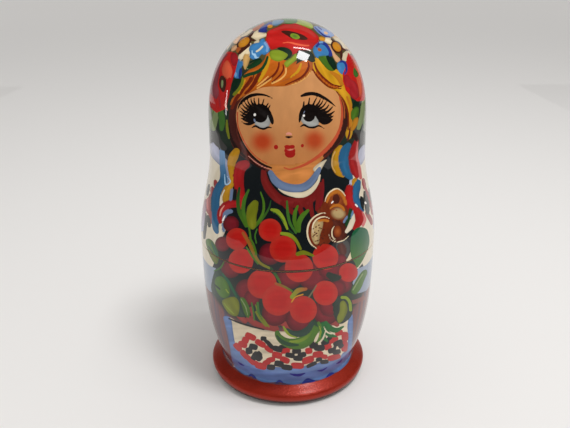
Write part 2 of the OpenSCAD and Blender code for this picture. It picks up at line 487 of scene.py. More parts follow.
# %% The wreath
WREATH_AREAS = [
    (3, "lime", [(295, 19), (303, 20), (312, 24), (312, 28.6), (304, 26.6), (296, 23.6)]),
    (3, "grass", [(283, 18), (290, 17), (297, 19), (296, 23), (286, 24)]),
    (3, "rust", [(250, 29), (256, 24), (263, 22), (264, 26), (257, 30), (252, 32)]),
    (3, "ash", [(236, 40), (243, 31), (252, 24), (260, 20), (262, 23), (252, 29), (243, 37), (237, 43)]),
    (3, "tan", [(331, 34), (336, 36), (343, 41), (350, 49), (352, 54), (347, 51), (340, 43), (333, 38)]),
    (4, "petal", [(241, 36), (245, 33), (250, 29.5), (253, 30), (250, 33), (246, 36), (243, 37.5)]),
    (4, "petal", [(252, 34), (256, 31), (260, 29), (261, 32), (264, 33.5), (266, 33), (266.5, 36),
        (262, 38), (257, 40), (252.5, 38), (251, 36.5)]),
    (4, "peach", [(233, 42), (236, 38), (241, 35.5), (239.5, 40), (237.5, 43.5), (234.5, 43.5)]),
    (4, "peach", [(231, 50), (232.5, 46), (236, 45), (237.5, 47), (235.5, 50), (232, 51.5)]),
    (4, "petal", [(246, 46), (250, 43), (251.5, 44), (250, 48), (250, 53), (249, 57), (246, 56),
        (243.5, 58), (241, 60), (238, 58.5), (239, 55), (242, 51)]),
    (4, "petal", [(253.5, 42.5), (258, 40), (259.5, 42), (256, 43.5)]),
    (4, "tan", [(243.5, 56), (247, 53.5), (250, 57), (249, 62), (247, 67), (245, 70), (243, 64)]),
    (5, "cornflower", [(261, 39), (264, 38.5), (265, 41), (267, 43), (269, 47), (270, 50), (268, 53),
        (264, 55), (262, 54), (260, 56), (258, 58.5), (255, 60), (252, 59), (249.5, 57), (250, 53),
        (249, 50), (249.5, 47), (252, 44.5), (256, 43), (259, 42.5)]),
    (4, "navy", [(258, 31), (261, 27), (265, 24.5), (270, 21.5), (273, 22.5), (272, 24.5), (268, 26.5),
        (266.5, 29), (267.5, 31), (264, 33), (259, 32)]),
    (5, "steel", [(272, 22.5), (274, 20.5), (279, 19.5), (284, 20.5), (281, 23.5), (277, 25.5),
        (273, 25.5)]),
    (6, "poppy", [(266, 38), (267, 33), (269, 30.5), (273, 28.5), (277, 27), (280, 25.5), (284, 24),
        (290, 24), (296, 23.5), (303, 26), (310, 29), (315, 33), (318.5, 36.5), (319, 40.5), (317, 43),
        (314, 46), (312, 48.5), (308, 50.5), (303, 52), (297, 53), (292, 54.5), (290, 51), (287, 48),
        (281, 47.5), (275, 49), (271, 49.5), (268, 45), (266, 41)]),
    (7, "brown", [(281, 31.5), (286, 30.5), (292, 31.5), (298, 33), (304, 35.5), (308, 39), (304, 40),
        (298, 39.5), (292, 38.5), (287, 35.5)]),
    (7, "pine", [(277, 48.5), (281, 47), (286, 47.5), (290, 49.5), (292.5, 53), (290.5, 57), (286, 60),
        (283, 60), (286, 57), (285, 53)]),
    (8, "leaf_light", [(269.5, 53), (272, 50.5), (277, 50), (282, 51), (286, 53), (288, 55), (286, 58),
        (283, 60), (279, 61.5), (274, 60.5), (270.5, 58)]),
    (7, "leaf_light", [(284, 63), (287, 60.5), (291, 58), (295, 54), (297, 54.5), (297.5, 58), (294, 62),
        (290, 65), (287, 67.5), (285, 66)]),
    (7, "moss", [(296, 64.5), (297, 61), (297, 55), (298, 51), (304, 50), (310, 51.5), (313, 54),
        (314.5, 58), (315, 61.5), (311, 62), (307, 60), (302, 61), (299, 62.5)]),
    (5, "cornflower", [(313, 50), (314, 46), (317, 43), (320, 41.5), (325, 42), (328, 45), (330, 48.5),
        (332, 52), (332, 56), (328, 57), (324, 56), (320, 57.5), (317, 58), (314.5, 55)]),
    (5, "sun", [(319, 37.5), (322, 36.5), (325.5, 38.5), (324, 41), (320, 40.5)]),
    (4, "petal", [(323.5, 38.5), (328, 37), (331, 38), (332.5, 41.5), (331, 44), (328, 43.5), (325, 42)]),
    (4, "peach", [(327.5, 44.5), (331, 46), (333, 50), (335.5, 54), (338.5, 57), (340.5, 60), (337, 62.5),
        (334, 58.5), (332, 54), (330, 49)]),
    (4, "petal", [(333.5, 37.5), (338, 38), (342.5, 41), (346, 45.5), (346, 49), (342, 49), (339, 44.5),
        (336, 41.5)]),
    (4, "petal", [(342.5, 54), (347, 50.5), (350.5, 52), (349.5, 56), (347.5, 60), (344, 61.5),
        (341.5, 58)]),
    (5, "periwinkle", [(313.5, 27.5), (317, 26), (322, 27.5), (327, 29.5), (331, 31.5), (334.5, 35.5),
        (331, 37), (327, 37.5), (323, 36), (318, 33)]),
    (5, "cornflower", [(337.5, 63), (340, 61), (344, 60.5), (346.5, 63), (347.5, 67), (347, 71),
        (345, 74.5), (341.5, 74), (338.5, 71), (337, 67)]),
    (5, "leaf", [(318, 57.5), (322, 56), (325, 55.5), (327, 58), (330, 62), (334, 67), (335.5, 70),
        (331, 71), (327, 69), (323, 64.5)]),
    (6, "pine", [(326, 56), (330, 56), (333, 58.5), (335.5, 63), (336.5, 68), (334, 70), (331, 66.5),
        (328, 62)]),
    (4, "cornflower", [(236, 62), (239, 60), (243, 61.5), (243, 65), (241, 68), (242, 72), (241, 77),
        (238, 78.5), (234, 77), (234.5, 70), (236.5, 66)]),
    (5, "navy", [(239.5, 69), (242, 68.5), (241.5, 74), (240, 79), (238.5, 76)]),
    (6, "leaf_dark", [(247, 67), (251, 64), (255, 61), (259, 58.5), (262, 60), (261, 63), (257, 66),
        (252, 68.5), (248, 69)]),
    (3, "pine", [(236, 78), (240.5, 79), (239, 84), (236, 89), (233, 91), (231, 87), (233, 82)]),
    (7, "poppy_deep", [(231, 54), (235, 52.5), (238, 57), (237.5, 63), (234, 66), (231, 62)]),
    (7, "ember", [(222, 68), (227, 60), (231, 66), (232.5, 72), (230.5, 79), (227, 79), (223, 75)]),
    (7, "dusk_rose", [(228, 54), (223, 60), (219.6, 68), (219, 76), (217.6, 84), (219, 92), (216.6, 99),
        (213, 96), (209, 90), (209, 78), (214, 64), (221, 55)]),
    (7, "brown", [(220, 77), (223, 75.5), (226, 80), (226, 86), (224, 92), (221, 90), (219, 84)]),
    (8, "sage", [(221.4, 80.6), (223, 80.4), (223.4, 83), (222.6, 87.4), (221.2, 87)]),
    (7, "poppy_deep", [(343.5, 78), (347, 74.5), (351, 79), (356, 83), (358.5, 90), (359, 96),
        (355, 99.5), (350.5, 96), (349.5, 88), (346, 86)]),
    (7, "ember", [(352.6, 60), (356.6, 65), (360.4, 74), (362, 84), (362, 93), (359.6, 97), (358.6, 88),
        (356.6, 80), (355.4, 72)]),
    (8, "grass", [(353.8, 68), (357, 71), (358.5, 75), (356, 77.5), (353.5, 74)]),
    (5, "pine", [(352, 107), (354, 102), (357, 99.5), (360, 102), (358, 106), (353.5, 108.5)]),
    (5, "leaf", [(351, 112), (354, 108), (358.5, 107.5), (359, 113), (356, 119), (351.5, 119.5)]),
    (5, "sun", [(352, 125), (354, 119), (358, 117.5), (358, 123), (354, 130), (350.5, 131)]),
]
print("wreath:", len(WREATH_AREAS), "petals and leaves")

# %% [markdown]
# ## Over the petals
#
# A painter lets the petals dry and then sets the flowers' eyes and fine lines on top. The later coats do
# the same here, with ovals and strokes.

# %% Eyes and veins of the flowers
WREATH_OVALS = [
    (5, "brown", (244, 42.5), (8.4, 5.4), -40),
    (6, "sun sun gold_low", (244, 42.3), (6.6, 3.8), -40),
    (5, "rust", (238.5, 50), (2.6, 3), 20),
    (5, "sun", (270, 26.3), (2.6, 1.7), 0),
    (8, "grass leaf_light", (295, 36.3), (5, 2.6), 18),
    (5, "brown", (336.8, 47), (7.2, 5.2), 52),
    (6, "sun sun gold_low", (336.8, 46.8), (5.4, 3.6), 52),
    (6, "rust", (319.5, 49.7), (2.2, 1.7), 20),
    (6, "peach", (326, 33), (2.2, 1.4), 20),
    (5, "blue_light", (235.6, 74.5), (1.2, 2.5), 0),
    (6, "navy", (330.5, 54.5), (2, 2.4), 0),
]
WREATH_STROKES = [
    (5, "brown", 2.6, [(249.5, 37), (253, 32)]),
    (5, "brown", [3, 3.5, 2.5], [(249, 45), (243, 49.5), (239, 53.5)]),
    (5, "brown", 2, [(251, 39.5), (254, 40.5)]),
    (6, "sky", [1, 2, 2.4, 1.2], [(252, 50.6), (252.6, 54), (255, 55), (255.6, 57.4), (258.6, 57.6)]),
    (6, "blue_light", 2.6, [(265, 43), (267.5, 47), (267, 51)]),
    (6, "ivory", 1.8, [(256.5, 51.5), (259, 50), (262.5, 46.5)]),
    (7, "ember", [0.8, 1.9, 1.4], [(281, 43.5), (288, 42.3), (296, 44), (304, 45.5), (309, 45.5)]),
    (7, "poppy_dim", [2, 4.5, 3], [(274, 30), (284, 27), (296, 26.8), (307, 30.5), (315, 36)]),
    (7, "brown", 1.2, [(296.5, 49.8), (302, 50), (308, 50.6)]),
    (6, "navy", [2, 3, 3, 2.4], [(316.5, 46.5), (320, 43), (324, 43.5), (327, 46), (329.5, 50),
        (331, 55)]),
    (6, "blue_light", 1.2, [(319.5, 42.2), (323, 41.8)]),
    (5, "brown", 1.6, [(331.5, 39), (334, 42)]),
    (5, "brown", [3, 2.6, 1.4], [(340.5, 51), (341.5, 55), (341, 60)]),
    (5, "umber", 1.8, [(343, 49.2), (348, 50.2)]),
    (6, "navy", 1.5, [(315, 27.5), (319, 31), (324, 35.5), (330, 37)]),
    (6, "navy", 1.4, [(318, 26.6), (321.5, 29.5)]),
    (6, "navy", [1.4, 2.4, 2], [(339, 62.8), (343, 61.5), (346, 65), (346.5, 70), (345, 74)]),
    (6, "leaf_dark", [3, 3.4, 3, 2.4], [(244, 76.5), (249, 74.5), (256, 72.5), (262, 68.5), (266, 62),
        (267.5, 57)]),
    (7, "pine", 1.8, [(250, 62.5), (255, 60), (260, 59)]),
    (7, "sage", 1.1, [(246, 66), (247.5, 69), (250, 69.5)]),
    (3, "olive", [2, 3, 3], [(243, 77), (242, 83), (239, 89), (234, 94.5)]),
    (8, "berry", [3, 4.6, 4.4, 3], [(229.4, 79), (228, 87), (226.6, 96), (225.4, 105)]),
    # painted reflection: the pale streak of a tall light at the left, mirrored in the lacquer
    (8, "pink", [1, 2.2, 1], [(226, 101), (225.4, 105.4), (227.4, 110)]),
    (8, "poppy_deep", [1, 2, 1.4], [(219, 92), (219.4, 100), (220.6, 108)]),
    (4, "grass", [4, 6.6, 6.6, 4], [(220.6, 109), (221.6, 116), (222, 123), (221.6, 129)]),
    (4, "sage", [4, 6.4, 6, 4], [(216, 111), (215, 118), (214, 124), (213.6, 129)]),
    (4, "ash", [2, 4.4, 4.4, 3], [(210.6, 92), (211, 100), (209.8, 108), (210.6, 118)]),
    (3, "iron", [4, 8, 8, 6], [(214, 128), (216, 136), (218, 142), (224, 148)]),
    (4, "olive", [1.4, 3, 2], [(226.8, 120), (227.2, 129), (229, 138)]),
    (5, "sage", [3, 4.6, 5, 4], [(363.8, 98), (363, 108), (361.4, 119), (358.6, 128)]),
    (5, "ash", [2, 3.6, 3], [(366.6, 100), (367, 114), (365, 130)]),
    (4, "iron", [4, 6, 5], [(356, 130), (359.6, 134), (362, 142)]),
    (4, "soot", [2, 4, 3], [(352, 138), (355, 135), (356.6, 140)]),
]
print("over them:", len(WREATH_OVALS), "ovals and", len(WREATH_STROKES), "strokes")

# %% [markdown]
# ## The hair
#
# Two orange and gold sweeps of hair part over the brow. Hair curves would stand off the head, and this
# hair is paint: each sweep is an area, dark strands run along it as strokes, and a dark band frames the
# face.

# %% The hair
HAIR_AREAS = [
    (0, "umber", [(241, 94), (236, 100), (231, 106), (229, 114), (228.6, 124), (229, 134), (232, 145),
        (238, 153), (247, 160), (256, 166), (268, 172), (274, 172), (262, 160), (250, 140), (246, 120)]),
    (0, "umber", [(334, 88), (341, 94), (346, 104), (349, 113), (349.5, 123), (346, 133), (340, 143),
        (332, 152.5), (323, 160), (310, 166), (300, 160), (320, 140), (330, 110)]),
    (2, "hair", [(311, 61), (308, 60), (300, 60), (292, 62), (284, 58), (276, 56), (268, 52), (264, 60),
        (257, 66), (249, 70), (243, 76), (240.4, 84), (238, 90), (235, 95), (231.4, 100), (230, 105),
        (233, 104), (237, 101), (242, 97.4), (247, 94.6), (252, 92), (257, 89.6), (263, 87.4),
        (270, 86.6), (278, 86.5), (286, 86), (294, 83.5), (301, 80.5), (307, 76.5), (311, 71.5)]),
    (2, "gold", [(312, 66), (313, 61), (317, 57), (322, 60), (328, 66), (334, 68), (338, 70), (343, 74),
        (345, 80), (347, 86), (350, 90), (350.5, 97), (352, 103), (352.5, 109), (352, 115), (352.5, 121),
        (353, 127), (352.5, 133), (350.5, 138.5), (347, 139), (345.4, 132), (347.5, 122), (348, 114),
        (345.5, 106), (341.5, 98), (338, 93), (334, 90), (329, 88), (324, 84.5), (318.5, 79), (314, 73)]),
]
HAIR_STROKES = [
    (3, "gold", [4, 4.6, 3], [(269, 58), (266.6, 66), (263, 74), (258.6, 81)]),
    (3, "strand", [1.4, 2.2, 2, 1.1], [(279, 62.5), (278.5, 67), (276, 72.5), (271, 77.5), (265, 82),
        (260, 86)]),
    (3, "strand", [1.2, 1.9, 1.1], [(283, 64.5), (283.5, 69), (281, 74), (276, 79), (272, 82)]),
    (3, "strand", [3, 4.2, 3.6, 2.4], [(260.6, 71.6), (257.6, 77), (254.4, 83), (250, 89),
        (245.4, 93.4)]),
    (3, "strand", [2.4, 3, 3, 3.6, 3], [(251, 77.6), (248.6, 82), (245, 87), (240.6, 93), (235.6, 99.6),
        (232, 108)]),
    (3, "chestnut", [1.2, 1.8, 1.2], [(254, 74.6), (252, 80), (247, 87)]),
    (3, "strand", [1.6, 2.3, 1.9, 1.0], [(308.5, 62.5), (308.6, 67), (306, 72.5), (301, 77.5), (294, 81),
        (285, 85)]),
    (3, "rust", 1.1, [(310.5, 70), (307, 75.5), (301, 80), (294, 83)]),
    (3, "rust", 1, [(299, 70), (295, 75), (288, 79), (280, 82)]),
    (3, "straw", 1.6, [(286, 68), (285.5, 74), (280, 79.5), (272, 83.5)]),
    (3, "gold", [2, 3, 1.6], [(301, 64), (298, 71), (291, 77)]),
    (3, "straw", 1.0, [(291, 85), (300, 81.5), (307, 76.5), (310.5, 72)]),
    (3, "gold", 1.8, [(245, 80), (242, 86.5), (238.5, 93)]),
    (3, "straw", 1.4, [(271, 79), (264, 84), (257, 88.5)]),
    (3, "straw", [1, 1.4, 1], [(268.6, 76), (263.6, 80.6), (257, 86)]),
    (3, "rust", 2.6, [(311.5, 62), (311.5, 66), (312, 69.5)]),
    (3, "strand", [1.5, 2.5, 2.3, 1.4], [(314.5, 63), (316.5, 69), (321, 75.5), (327, 81), (333, 85),
        (341, 86.5)]),
    (3, "strand", [1.4, 2.1, 1.9, 1.2], [(312.5, 69), (317.5, 76.5), (324, 83), (331, 87.5),
        (341, 88.6)]),
    (3, "hair", 1.4, [(316, 72.5), (322.5, 79.5), (330, 85.5), (338, 87.5)]),
    (3, "gold_low", [3, 5, 4], [(331, 72), (338, 77), (342, 84)]),
    (3, "strand", [1.1, 2.2, 2, 1.6, 1.2], [(336.5, 91.5), (341, 97), (345, 103.5), (347.4, 111),
        (348.4, 119), (348, 130)]),
    (3, "gold_low", [2, 3, 2], [(347, 97), (350.6, 107), (351, 118), (350, 130)]),
    (3, "umber", [1, 2, 2], [(350, 128), (349.4, 134), (347.6, 140)]),
    (3, "rust", 1.2, [(338.5, 93.5), (342.6, 101), (344.4, 109), (344.6, 118)]),
    (2, "umber_low", [2, 5, 6, 5, 2], [(344.6, 106), (346, 120), (342.5, 132), (334, 145), (324, 155)]),
    (2, "maroon", [3, 6, 7, 6, 4], [(234, 103), (232.8, 112), (232.4, 124), (234.6, 138), (242, 151)]),
    (2, "soot", [1, 2.6, 3, 2], [(229, 126), (231, 138), (236.6, 148), (245, 157)]),
]
print("hair:", len(HAIR_AREAS + HAIR_STROKES), "marks")

# %% [markdown]
# ## The face
#
# The face is an oval of skin colour on the round of the head, without a modelled nose. A darker rim runs
# round it. A string of red beads and a blue collar lie under it, each pulled in a few long strokes that
# swell and thin.

# %% The face and the collar
FACE = [
    (238.5, 104), (237, 108), (236.2, 113), (236, 118), (236.8, 124), (238.4, 130), (241, 137),
    (244.5, 144), (249, 151), (254, 157), (261, 162.8), (269, 166.8), (277, 168.4), (284, 169),
    (290, 170), (297, 168.6), (305, 166.5), (313, 162.8), (321, 157.8), (328, 151), (334, 143.5),
    (338.5, 136), (341.5, 128), (343, 119), (343, 110), (341.5, 102), (338, 94.5), (334, 89), (326, 80),
    (312, 66), (300, 74), (280, 80), (262, 84), (250, 92), (243, 98),
]
NECK = [
    (266, 166), (270, 170), (274, 177), (280, 182.5), (288, 186), (297, 186.5), (305, 184), (310.5, 179),
    (314, 172), (318, 165), (324, 157), (312, 160), (300, 163), (288, 165), (276, 164),
]
FACE_STROKES = [
    (2, "rim", [1.2, 2, 2.4, 3, 3.8, 3.8, 3, 2.4, 1.6, 1.3], [(339.5, 97), (341.6, 106), (342, 116),
        (340.4, 127), (336.4, 136.5), (330.4, 145), (323, 152.6), (315, 158.8), (305, 164.6),
        (297, 167.6), (290, 169.4), (284, 167.6)]),
    (2, "rim", 1.2, [(237.4, 112), (237.8, 124), (240.4, 133), (245.4, 143.5), (251.4, 152),
        (258.5, 158.6), (267, 163.6)]),
    (3, "soot", [1.2, 1.8, 2, 1.6], [(238, 132), (243, 143.5), (250, 153.5), (258, 161.2), (265, 165.4),
        (271.5, 168)]),
    (4, "pink", 1, [(248.5, 156), (255, 161.8), (262, 166.2), (270.5, 169.6)]),
    (3, "soot", 1.5, [(250, 160), (257, 166), (265, 170)]),
    (1, "beads", [5, 7.5, 9, 9.4, 9.4, 10, 10, 10, 8.5, 6.5, 4], [(263.5, 171), (264.5, 179), (268, 187),
        (273.5, 194), (280, 199.5), (288, 202), (297, 203), (305, 201.5), (312, 197.5), (317, 191.5),
        (320, 184)]),
    (1, "beads", 5, [(283, 203), (288, 208), (293, 212.5)]),
    (1, "beads", 5, [(296, 204), (300, 209), (302, 214)]),
    (1, "beads", 4, [(304, 203), (308, 209)]),
    (1, "beads", [4, 4.4, 4], [(311, 198), (311, 207), (312.5, 216)]),
    (1, "beads", [4, 4.6, 5], [(317, 186), (318.4, 196), (317.5, 209)]),
    (1, "beads wine", [2, 3.4, 3], [(323, 179.5), (322.6, 190), (321, 206)]),
    (2, "ivory", [2, 4, 5, 5.5, 5.5, 5, 4, 2.6, 1.5], [(279, 188.5), (284, 191.5), (290, 193.5),
        (297, 195), (304, 194.5), (310, 191.5), (315, 186.5), (318.5, 180.5), (320, 175)]),
    (3, "slate", [5, 7.5, 8.4, 8.4, 8, 8, 7.6, 6.5, 5, 3.5], [(270.5, 172.5), (274.5, 179.5),
        (280.5, 184.8), (288, 187.6), (296, 188.4), (304, 187), (310, 183), (314.8, 177), (318, 171.5),
        (319.5, 168.5)]),
]
COLLAR_TIP = [
    (313, 169), (316, 165.5), (321, 162), (327, 159.3), (324.5, 163.5), (321, 170), (318, 172),
    (315, 172),
]
print("face and collar:", len(FACE_STROKES), "strokes")

# %% [markdown]
# ## The eyes
#
# The eyes are big and dark under arched brows. A fan of lashes could be a loop, but these were set down
# one by one and none is like the next, so each lash is its own stroke that tapers to a point.

# %% The eyes
EYE_AREAS = [
    (2, "eye", [(252.5, 118), (256, 116), (262, 116), (267, 114), (270, 118), (270.5, 123), (268, 127),
        (264, 128.6), (259, 127.8), (255, 124.5)]),
    (2, "eye", [(301, 120), (302, 114), (306, 114), (312, 117), (316, 114.5), (318, 119), (319, 123),
        (316.5, 126.5), (311, 127.6), (306, 126.2), (303, 123.5)]),
    (3, "black", [(252, 117.5), (251.5, 111), (253.5, 106.8), (257, 104.4), (261.5, 104), (265.5, 105.6),
        (269.5, 109.6), (272, 114.5), (273.8, 120), (273.6, 123.2), (272.4, 124.6), (270.6, 122.4),
        (268.6, 117.5), (267.5, 114.5), (267.2, 118), (264.6, 121.4), (260.5, 122.6), (256.5, 121.4),
        (254, 119)]),
    (3, "black", [(299, 123), (298.8, 116), (300.4, 110), (303.5, 106.2), (308, 104.2), (313, 104.6),
        (317.5, 107), (320.5, 110), (321.5, 114), (321.5, 119), (319.5, 121), (316.8, 118.4),
        (315.2, 115.2), (314.4, 118.6), (311.4, 121.2), (307.4, 121.6), (304, 119.4), (302.4, 116),
        (301.2, 119.5)]),
]
LASHES = [
    (3, "black", [0.8, 1.9, 3.1, 3.4, 2.8, 2.0, 1.4, 0.9], [(237.8, 109.5), (239.6, 104.6), (244, 99.6),
        (250, 96), (256.5, 94.5), (263.5, 94.8), (269, 96.6), (273, 98.8)]),
    (3, "black", [2.1, 3.7, 3.5, 3.5, 3.0, 2.3, 1.4, 0.7], [(301.4, 96), (306, 94.4), (312, 93.6),
        (318, 94.8), (324, 97.8), (329, 101), (333, 104.2), (336, 106.8)]),
    (3, "black", [1.7, 0.9], [(258.8, 105), (258.6, 97.6)]),
    (3, "black", [1.7, 0.9], [(262.3, 104.6), (264, 99)]),
    (3, "black", [1.6, 0.9], [(266.3, 106.4), (268.4, 103)]),
    (3, "black", [1.6, 0.9], [(268.4, 108.4), (270.2, 105.2)]),
    (3, "black", [2.0, 0.8], [(256, 105.4), (254.2, 101), (254.2, 98)]),
    (3, "black", [2.2, 0.9], [(254.4, 106.6), (251.6, 102), (250.8, 98.4)]),
    (3, "black", [2.3, 0.9], [(253, 108), (249, 103.6), (247.4, 99.6)]),
    (3, "black", [2.5, 0.9], [(252, 109.6), (247, 105.4), (244.4, 101.6)]),
    (3, "black", [2.6, 0.9], [(251.4, 111.4), (245.6, 108), (242, 104)]),
    (3, "black", [2.9, 0.9], [(251.4, 113.6), (245, 111.4), (240.4, 107)]),
    (3, "black", [3.1, 0.9], [(251.8, 115.6), (245, 114.4), (239.4, 110.6)]),
    (3, "black", [3.9, 2.9, 0.8], [(252.4, 117.4), (246, 117.6), (239.8, 114.4)]),
    (3, "black", [3.9, 3.1, 0.8], [(253.4, 119.4), (247, 120.6), (240.6, 118)]),
    (3, "black", [3.9, 3.4, 1.8, 0.8], [(253.8, 121.4), (250, 123.6), (245.8, 124), (241.4, 121.6)]),
    (3, "black", [1.0, 2.2, 1.8, 2.1, 1.8, 1.0], [(252, 127.6), (255.5, 126), (259.5, 128), (264, 128.8),
        (268, 127.2), (271.4, 127.7)]),
    (3, "black", [2.1, 1.0], [(303.5, 106), (304, 101.6)]),
    (3, "black", [1.8, 1.0], [(308.5, 104.6), (309.6, 98)]),
    (3, "black", [2.1, 0.9], [(313, 105), (316.8, 97.4)]),
    (3, "black", [2.1, 0.9], [(315.6, 106.4), (319, 102.4), (320.4, 98.8)]),
    (3, "black", [2.2, 0.9], [(317.4, 107.6), (321, 104), (323, 100.4)]),
    (3, "black", [2.3, 0.9], [(319, 109), (323.4, 106), (326.2, 102)]),
    (3, "black", [2.9, 0.9], [(320, 111.4), (326, 108.6), (329, 104.6)]),
    (3, "black", [3.4, 2.3, 0.8], [(320.4, 113.6), (327.6, 111.6), (333, 106.4)]),
    (3, "black", [4.7, 3.1, 0.8], [(320.6, 115.6), (328.6, 115), (334.6, 111.2)]),
    (3, "black", [5.2, 3.4, 0.8], [(321, 117.6), (328, 118.4), (333.4, 115.8)]),
    (3, "black", [4.7, 3.4, 0.8], [(321, 119.6), (327, 121), (332.8, 119)]),
    (3, "black", [2.6, 3.1, 2.1, 0.8], [(319.6, 121), (323.6, 123.2), (328, 122.8), (332, 120.6)]),
    (3, "black", [1.0, 2.2, 1.8, 2.1, 1.6, 1.0], [(300.6, 126.6), (304, 125), (308.6, 127.2),
        (314, 127.4), (319, 125.8), (324.4, 128.6)]),
    (2, "soot", [1, 2.3, 1], [(285.4, 136.6), (288.4, 137.2), (292.4, 136.7)]),
]
print("eyes:", len(EYE_AREAS), "areas and", len(LASHES), "strokes")

# %% [markdown]
# ## The mouth and the blush
#
# The mouth is made of small ovals that run into one another, as dabs of a round brush do. The blush was
# rubbed on, so it has no edge. It is a tint that fades with the distance from the middle of each cheek.

# %% The mouth and the blush
FACE_OVALS = [
    (4, "white", (254.8, 114.7), (1.3, 1.5), 0),
    (4, "white", (303.8, 115.6), (1.2, 1.3), 0),
    (4, "eye_blue", (254.6, 120.5), (0.9, 2.2), -20),
    (2, "lip", (276, 147.1), (2.2, 2.3), 0),
    (2, "lip", (302.4, 145.7), (1.6, 1.8), 15),
    (2, "lip", (287.6, 147), (3.5, 2), 8),
    (2, "lip", (291.8, 146.8), (3, 1.9), -6),
    (2, "lip", (290, 153.8), (5.3, 4), 4),
    (2, "lip", (286, 150.6), (1.8, 2), 0),
    (2, "lip", (294, 150.8), (1.4, 2), 0),
]
FACE_GLINTS = [
    (4, "eye_blue", 0.8, [(304.8, 111), (303.6, 113.5)]),
    (3, "pink", [0.8, 1.2, 0.8], [(286.5, 149.4), (290, 149.9), (294, 149.2)]),
    (2, "pink", [1.6, 2.6, 2], [(286.5, 134), (289, 133.4), (291, 134.4)]),
]


# the skin darkens from this row of pixels on, over so many pixels
CHIN_Y, CHIN_SPAN = 100, 70
# a cheek is its middle, its two radii and the strength of its blush
CHEEKS = [(262.4, 141.6, 13.4, 12.4, 0.95), (314.6, 140.4, 12.2, 12, 0.9)]
BLUSH_CORE = 0.25


def face_tint(pixels):
    """Skin that darkens towards the chin, with a soft round blush on each cheek."""
    x, y = pixels[:, 0], pixels[:, 1]
    low = ease((y - CHIN_Y) / CHIN_SPAN)[:, None]
    tint = PAINT["skin"] * (1 - low) + PAINT["skin_low"] * low
    for cx, cy, rx, ry, strength in CHEEKS:
        ring = np.hypot((x - cx) / rx, (y - cy) / ry)
        share = (strength * (1 - ease(ring - BLUSH_CORE)))[:, None]
        tint = tint * (1 - share) + PAINT["blush"] * share
    return tint


print("mouth:", len(FACE_OVALS), "dabs, and a blush on", len(CHEEKS), "cheeks")

# %% [markdown]
# ## The ribbons
#
# Ribbons in gold, blue, red and lilac fall from the wreath over the shoulders. Each was pulled in one go
# with a flat brush, so each is a stroke with several widths along it.

# %% The ribbons
RIBBONS = [
    (2, "lilac slate", [9, 10, 9.6, 8, 7.4, 6.6, 5], [(213.4, 147), (216, 154), (221, 160), (226, 166),
        (228.6, 173), (228.8, 179), (226, 184)]),
    (3, "blue_light blue blue blue", [5, 6, 5.6, 6.4, 8, 8.4, 8.6, 8.4, 8, 7.6, 6, 4], [(222, 151),
        (222.4, 158), (222.5, 166), (223.4, 174), (223, 181), (219.4, 187), (216.4, 194), (215.4, 203),
        (215.6, 212), (215.4, 221), (215.6, 228), (217, 232)]),
    (3, "ribbon_gold", [7, 9.6, 8.4, 6.4, 5.4, 6, 8.4, 9, 7], [(236.4, 151.5), (233.6, 156.6),
        (231.4, 163), (231.4, 171), (232.4, 178), (231, 184), (227.6, 189.6), (225.6, 195.6),
        (226.6, 201)]),
    (3, "poppy_deep ribbon_red ribbon_red", [9, 11.6, 11, 10.6, 9.4, 7, 5], [(245.4, 164.6), (241, 167),
        (238.8, 173.4), (238.6, 182), (239.8, 190), (241.8, 199), (240.8, 207)]),
    (3, "ribbon_red", [7, 8, 8.4, 8, 6.4, 3.6], [(236, 204), (230.5, 204), (225.5, 206), (221.8, 211),
        (220.2, 217), (220.4, 222)]),
    # painted reflection: a pale streak where a tall light at the left mirrors in the red ribbon
    (4, "pink", [0.8, 1.8, 1.2], [(224.5, 205.4), (221.2, 210), (219.8, 216)]),
    (3, "slate", [4, 5, 4.4, 3], [(231, 211.4), (227, 212.4), (224.6, 215.6), (223.4, 220)]),
    # painted reflection of the same light, on the slate ribbon
    (4, "white", [1, 1.8, 1.4], [(225, 215.6), (223.4, 219), (222.6, 221)]),
    (3, "slate", 2.8, [(232, 190), (230.8, 199.6)]),
    (3, "vest", 3.4, [(235.4, 190.5), (234.6, 199)]),
    (4, "cream", 1.4, [(224.4, 190), (221.8, 196), (221.6, 201)]),
    # painted reflection of the same light, a pale zigzag on the blue ribbon
    (4, "sky", [0.8, 1.5, 1.2, 0.8], [(224.6, 174), (225.6, 184.4), (230.4, 181.4), (226.4, 175.6)]),
    (3, "ribbon_gold", [6, 8, 8.6, 8.2, 6.4, 3], [(340.5, 148), (336.8, 153.5), (335.6, 160),
        (335.8, 167), (338.6, 172.6), (343, 176)]),
    (4, "tan", 1.2, [(335.2, 151.5), (332.4, 158), (332.2, 166), (335.4, 172.4)]),
    (3, "blue", [6, 9, 9.8, 10, 9.4, 5], [(348.4, 145.6), (345, 150.4), (343.6, 157), (344, 165),
        (346.4, 172), (350.6, 177.6)]),
    (3, "ribbon_red", [4, 5.6, 7.4, 8.6, 9.4, 4], [(356.6, 140.5), (354.4, 147), (352.6, 155),
        (353.2, 163), (355, 170), (357, 176.6)]),
    (4, "rose", [1.4, 2.2, 2.6, 3.2, 3], [(357.8, 142), (357, 150), (357, 158), (359.4, 168),
        (360.6, 178)]),
    (3, "ribbon_gold", [5, 6, 4], [(355, 180.6), (353.4, 184), (352, 187.6)]),
    (3, "lilac", 2.4, [(350.8, 180.6), (350.2, 186)]),
    (3, "blue", [5, 8, 7, 6.4, 6, 4.6], [(358.4, 182), (356.8, 187.4), (355.8, 194), (356.6, 200),
        (359.4, 205.4), (362, 210)]),
    (3, "vest", [2, 4, 3.6, 2], [(361, 197), (362, 201), (362.4, 205), (363, 208.6)]),
    (3, "ribbon_red", [7, 9, 9, 9, 9.4, 9.4, 8.6, 5], [(349.4, 188), (348.4, 195), (349, 202),
        (352.2, 207.6), (357.2, 212.6), (360, 218.6), (357, 223.6), (354.4, 227.6)]),
    (4, "rose", [1.4, 3, 3], [(362.4, 212), (365, 219), (363, 225)]),
    # painted highlight: a white glint of the lacquer on the red ribbon
    (4, "white", 1.6, [(355.4, 204.4), (357.6, 206.6)]),
]
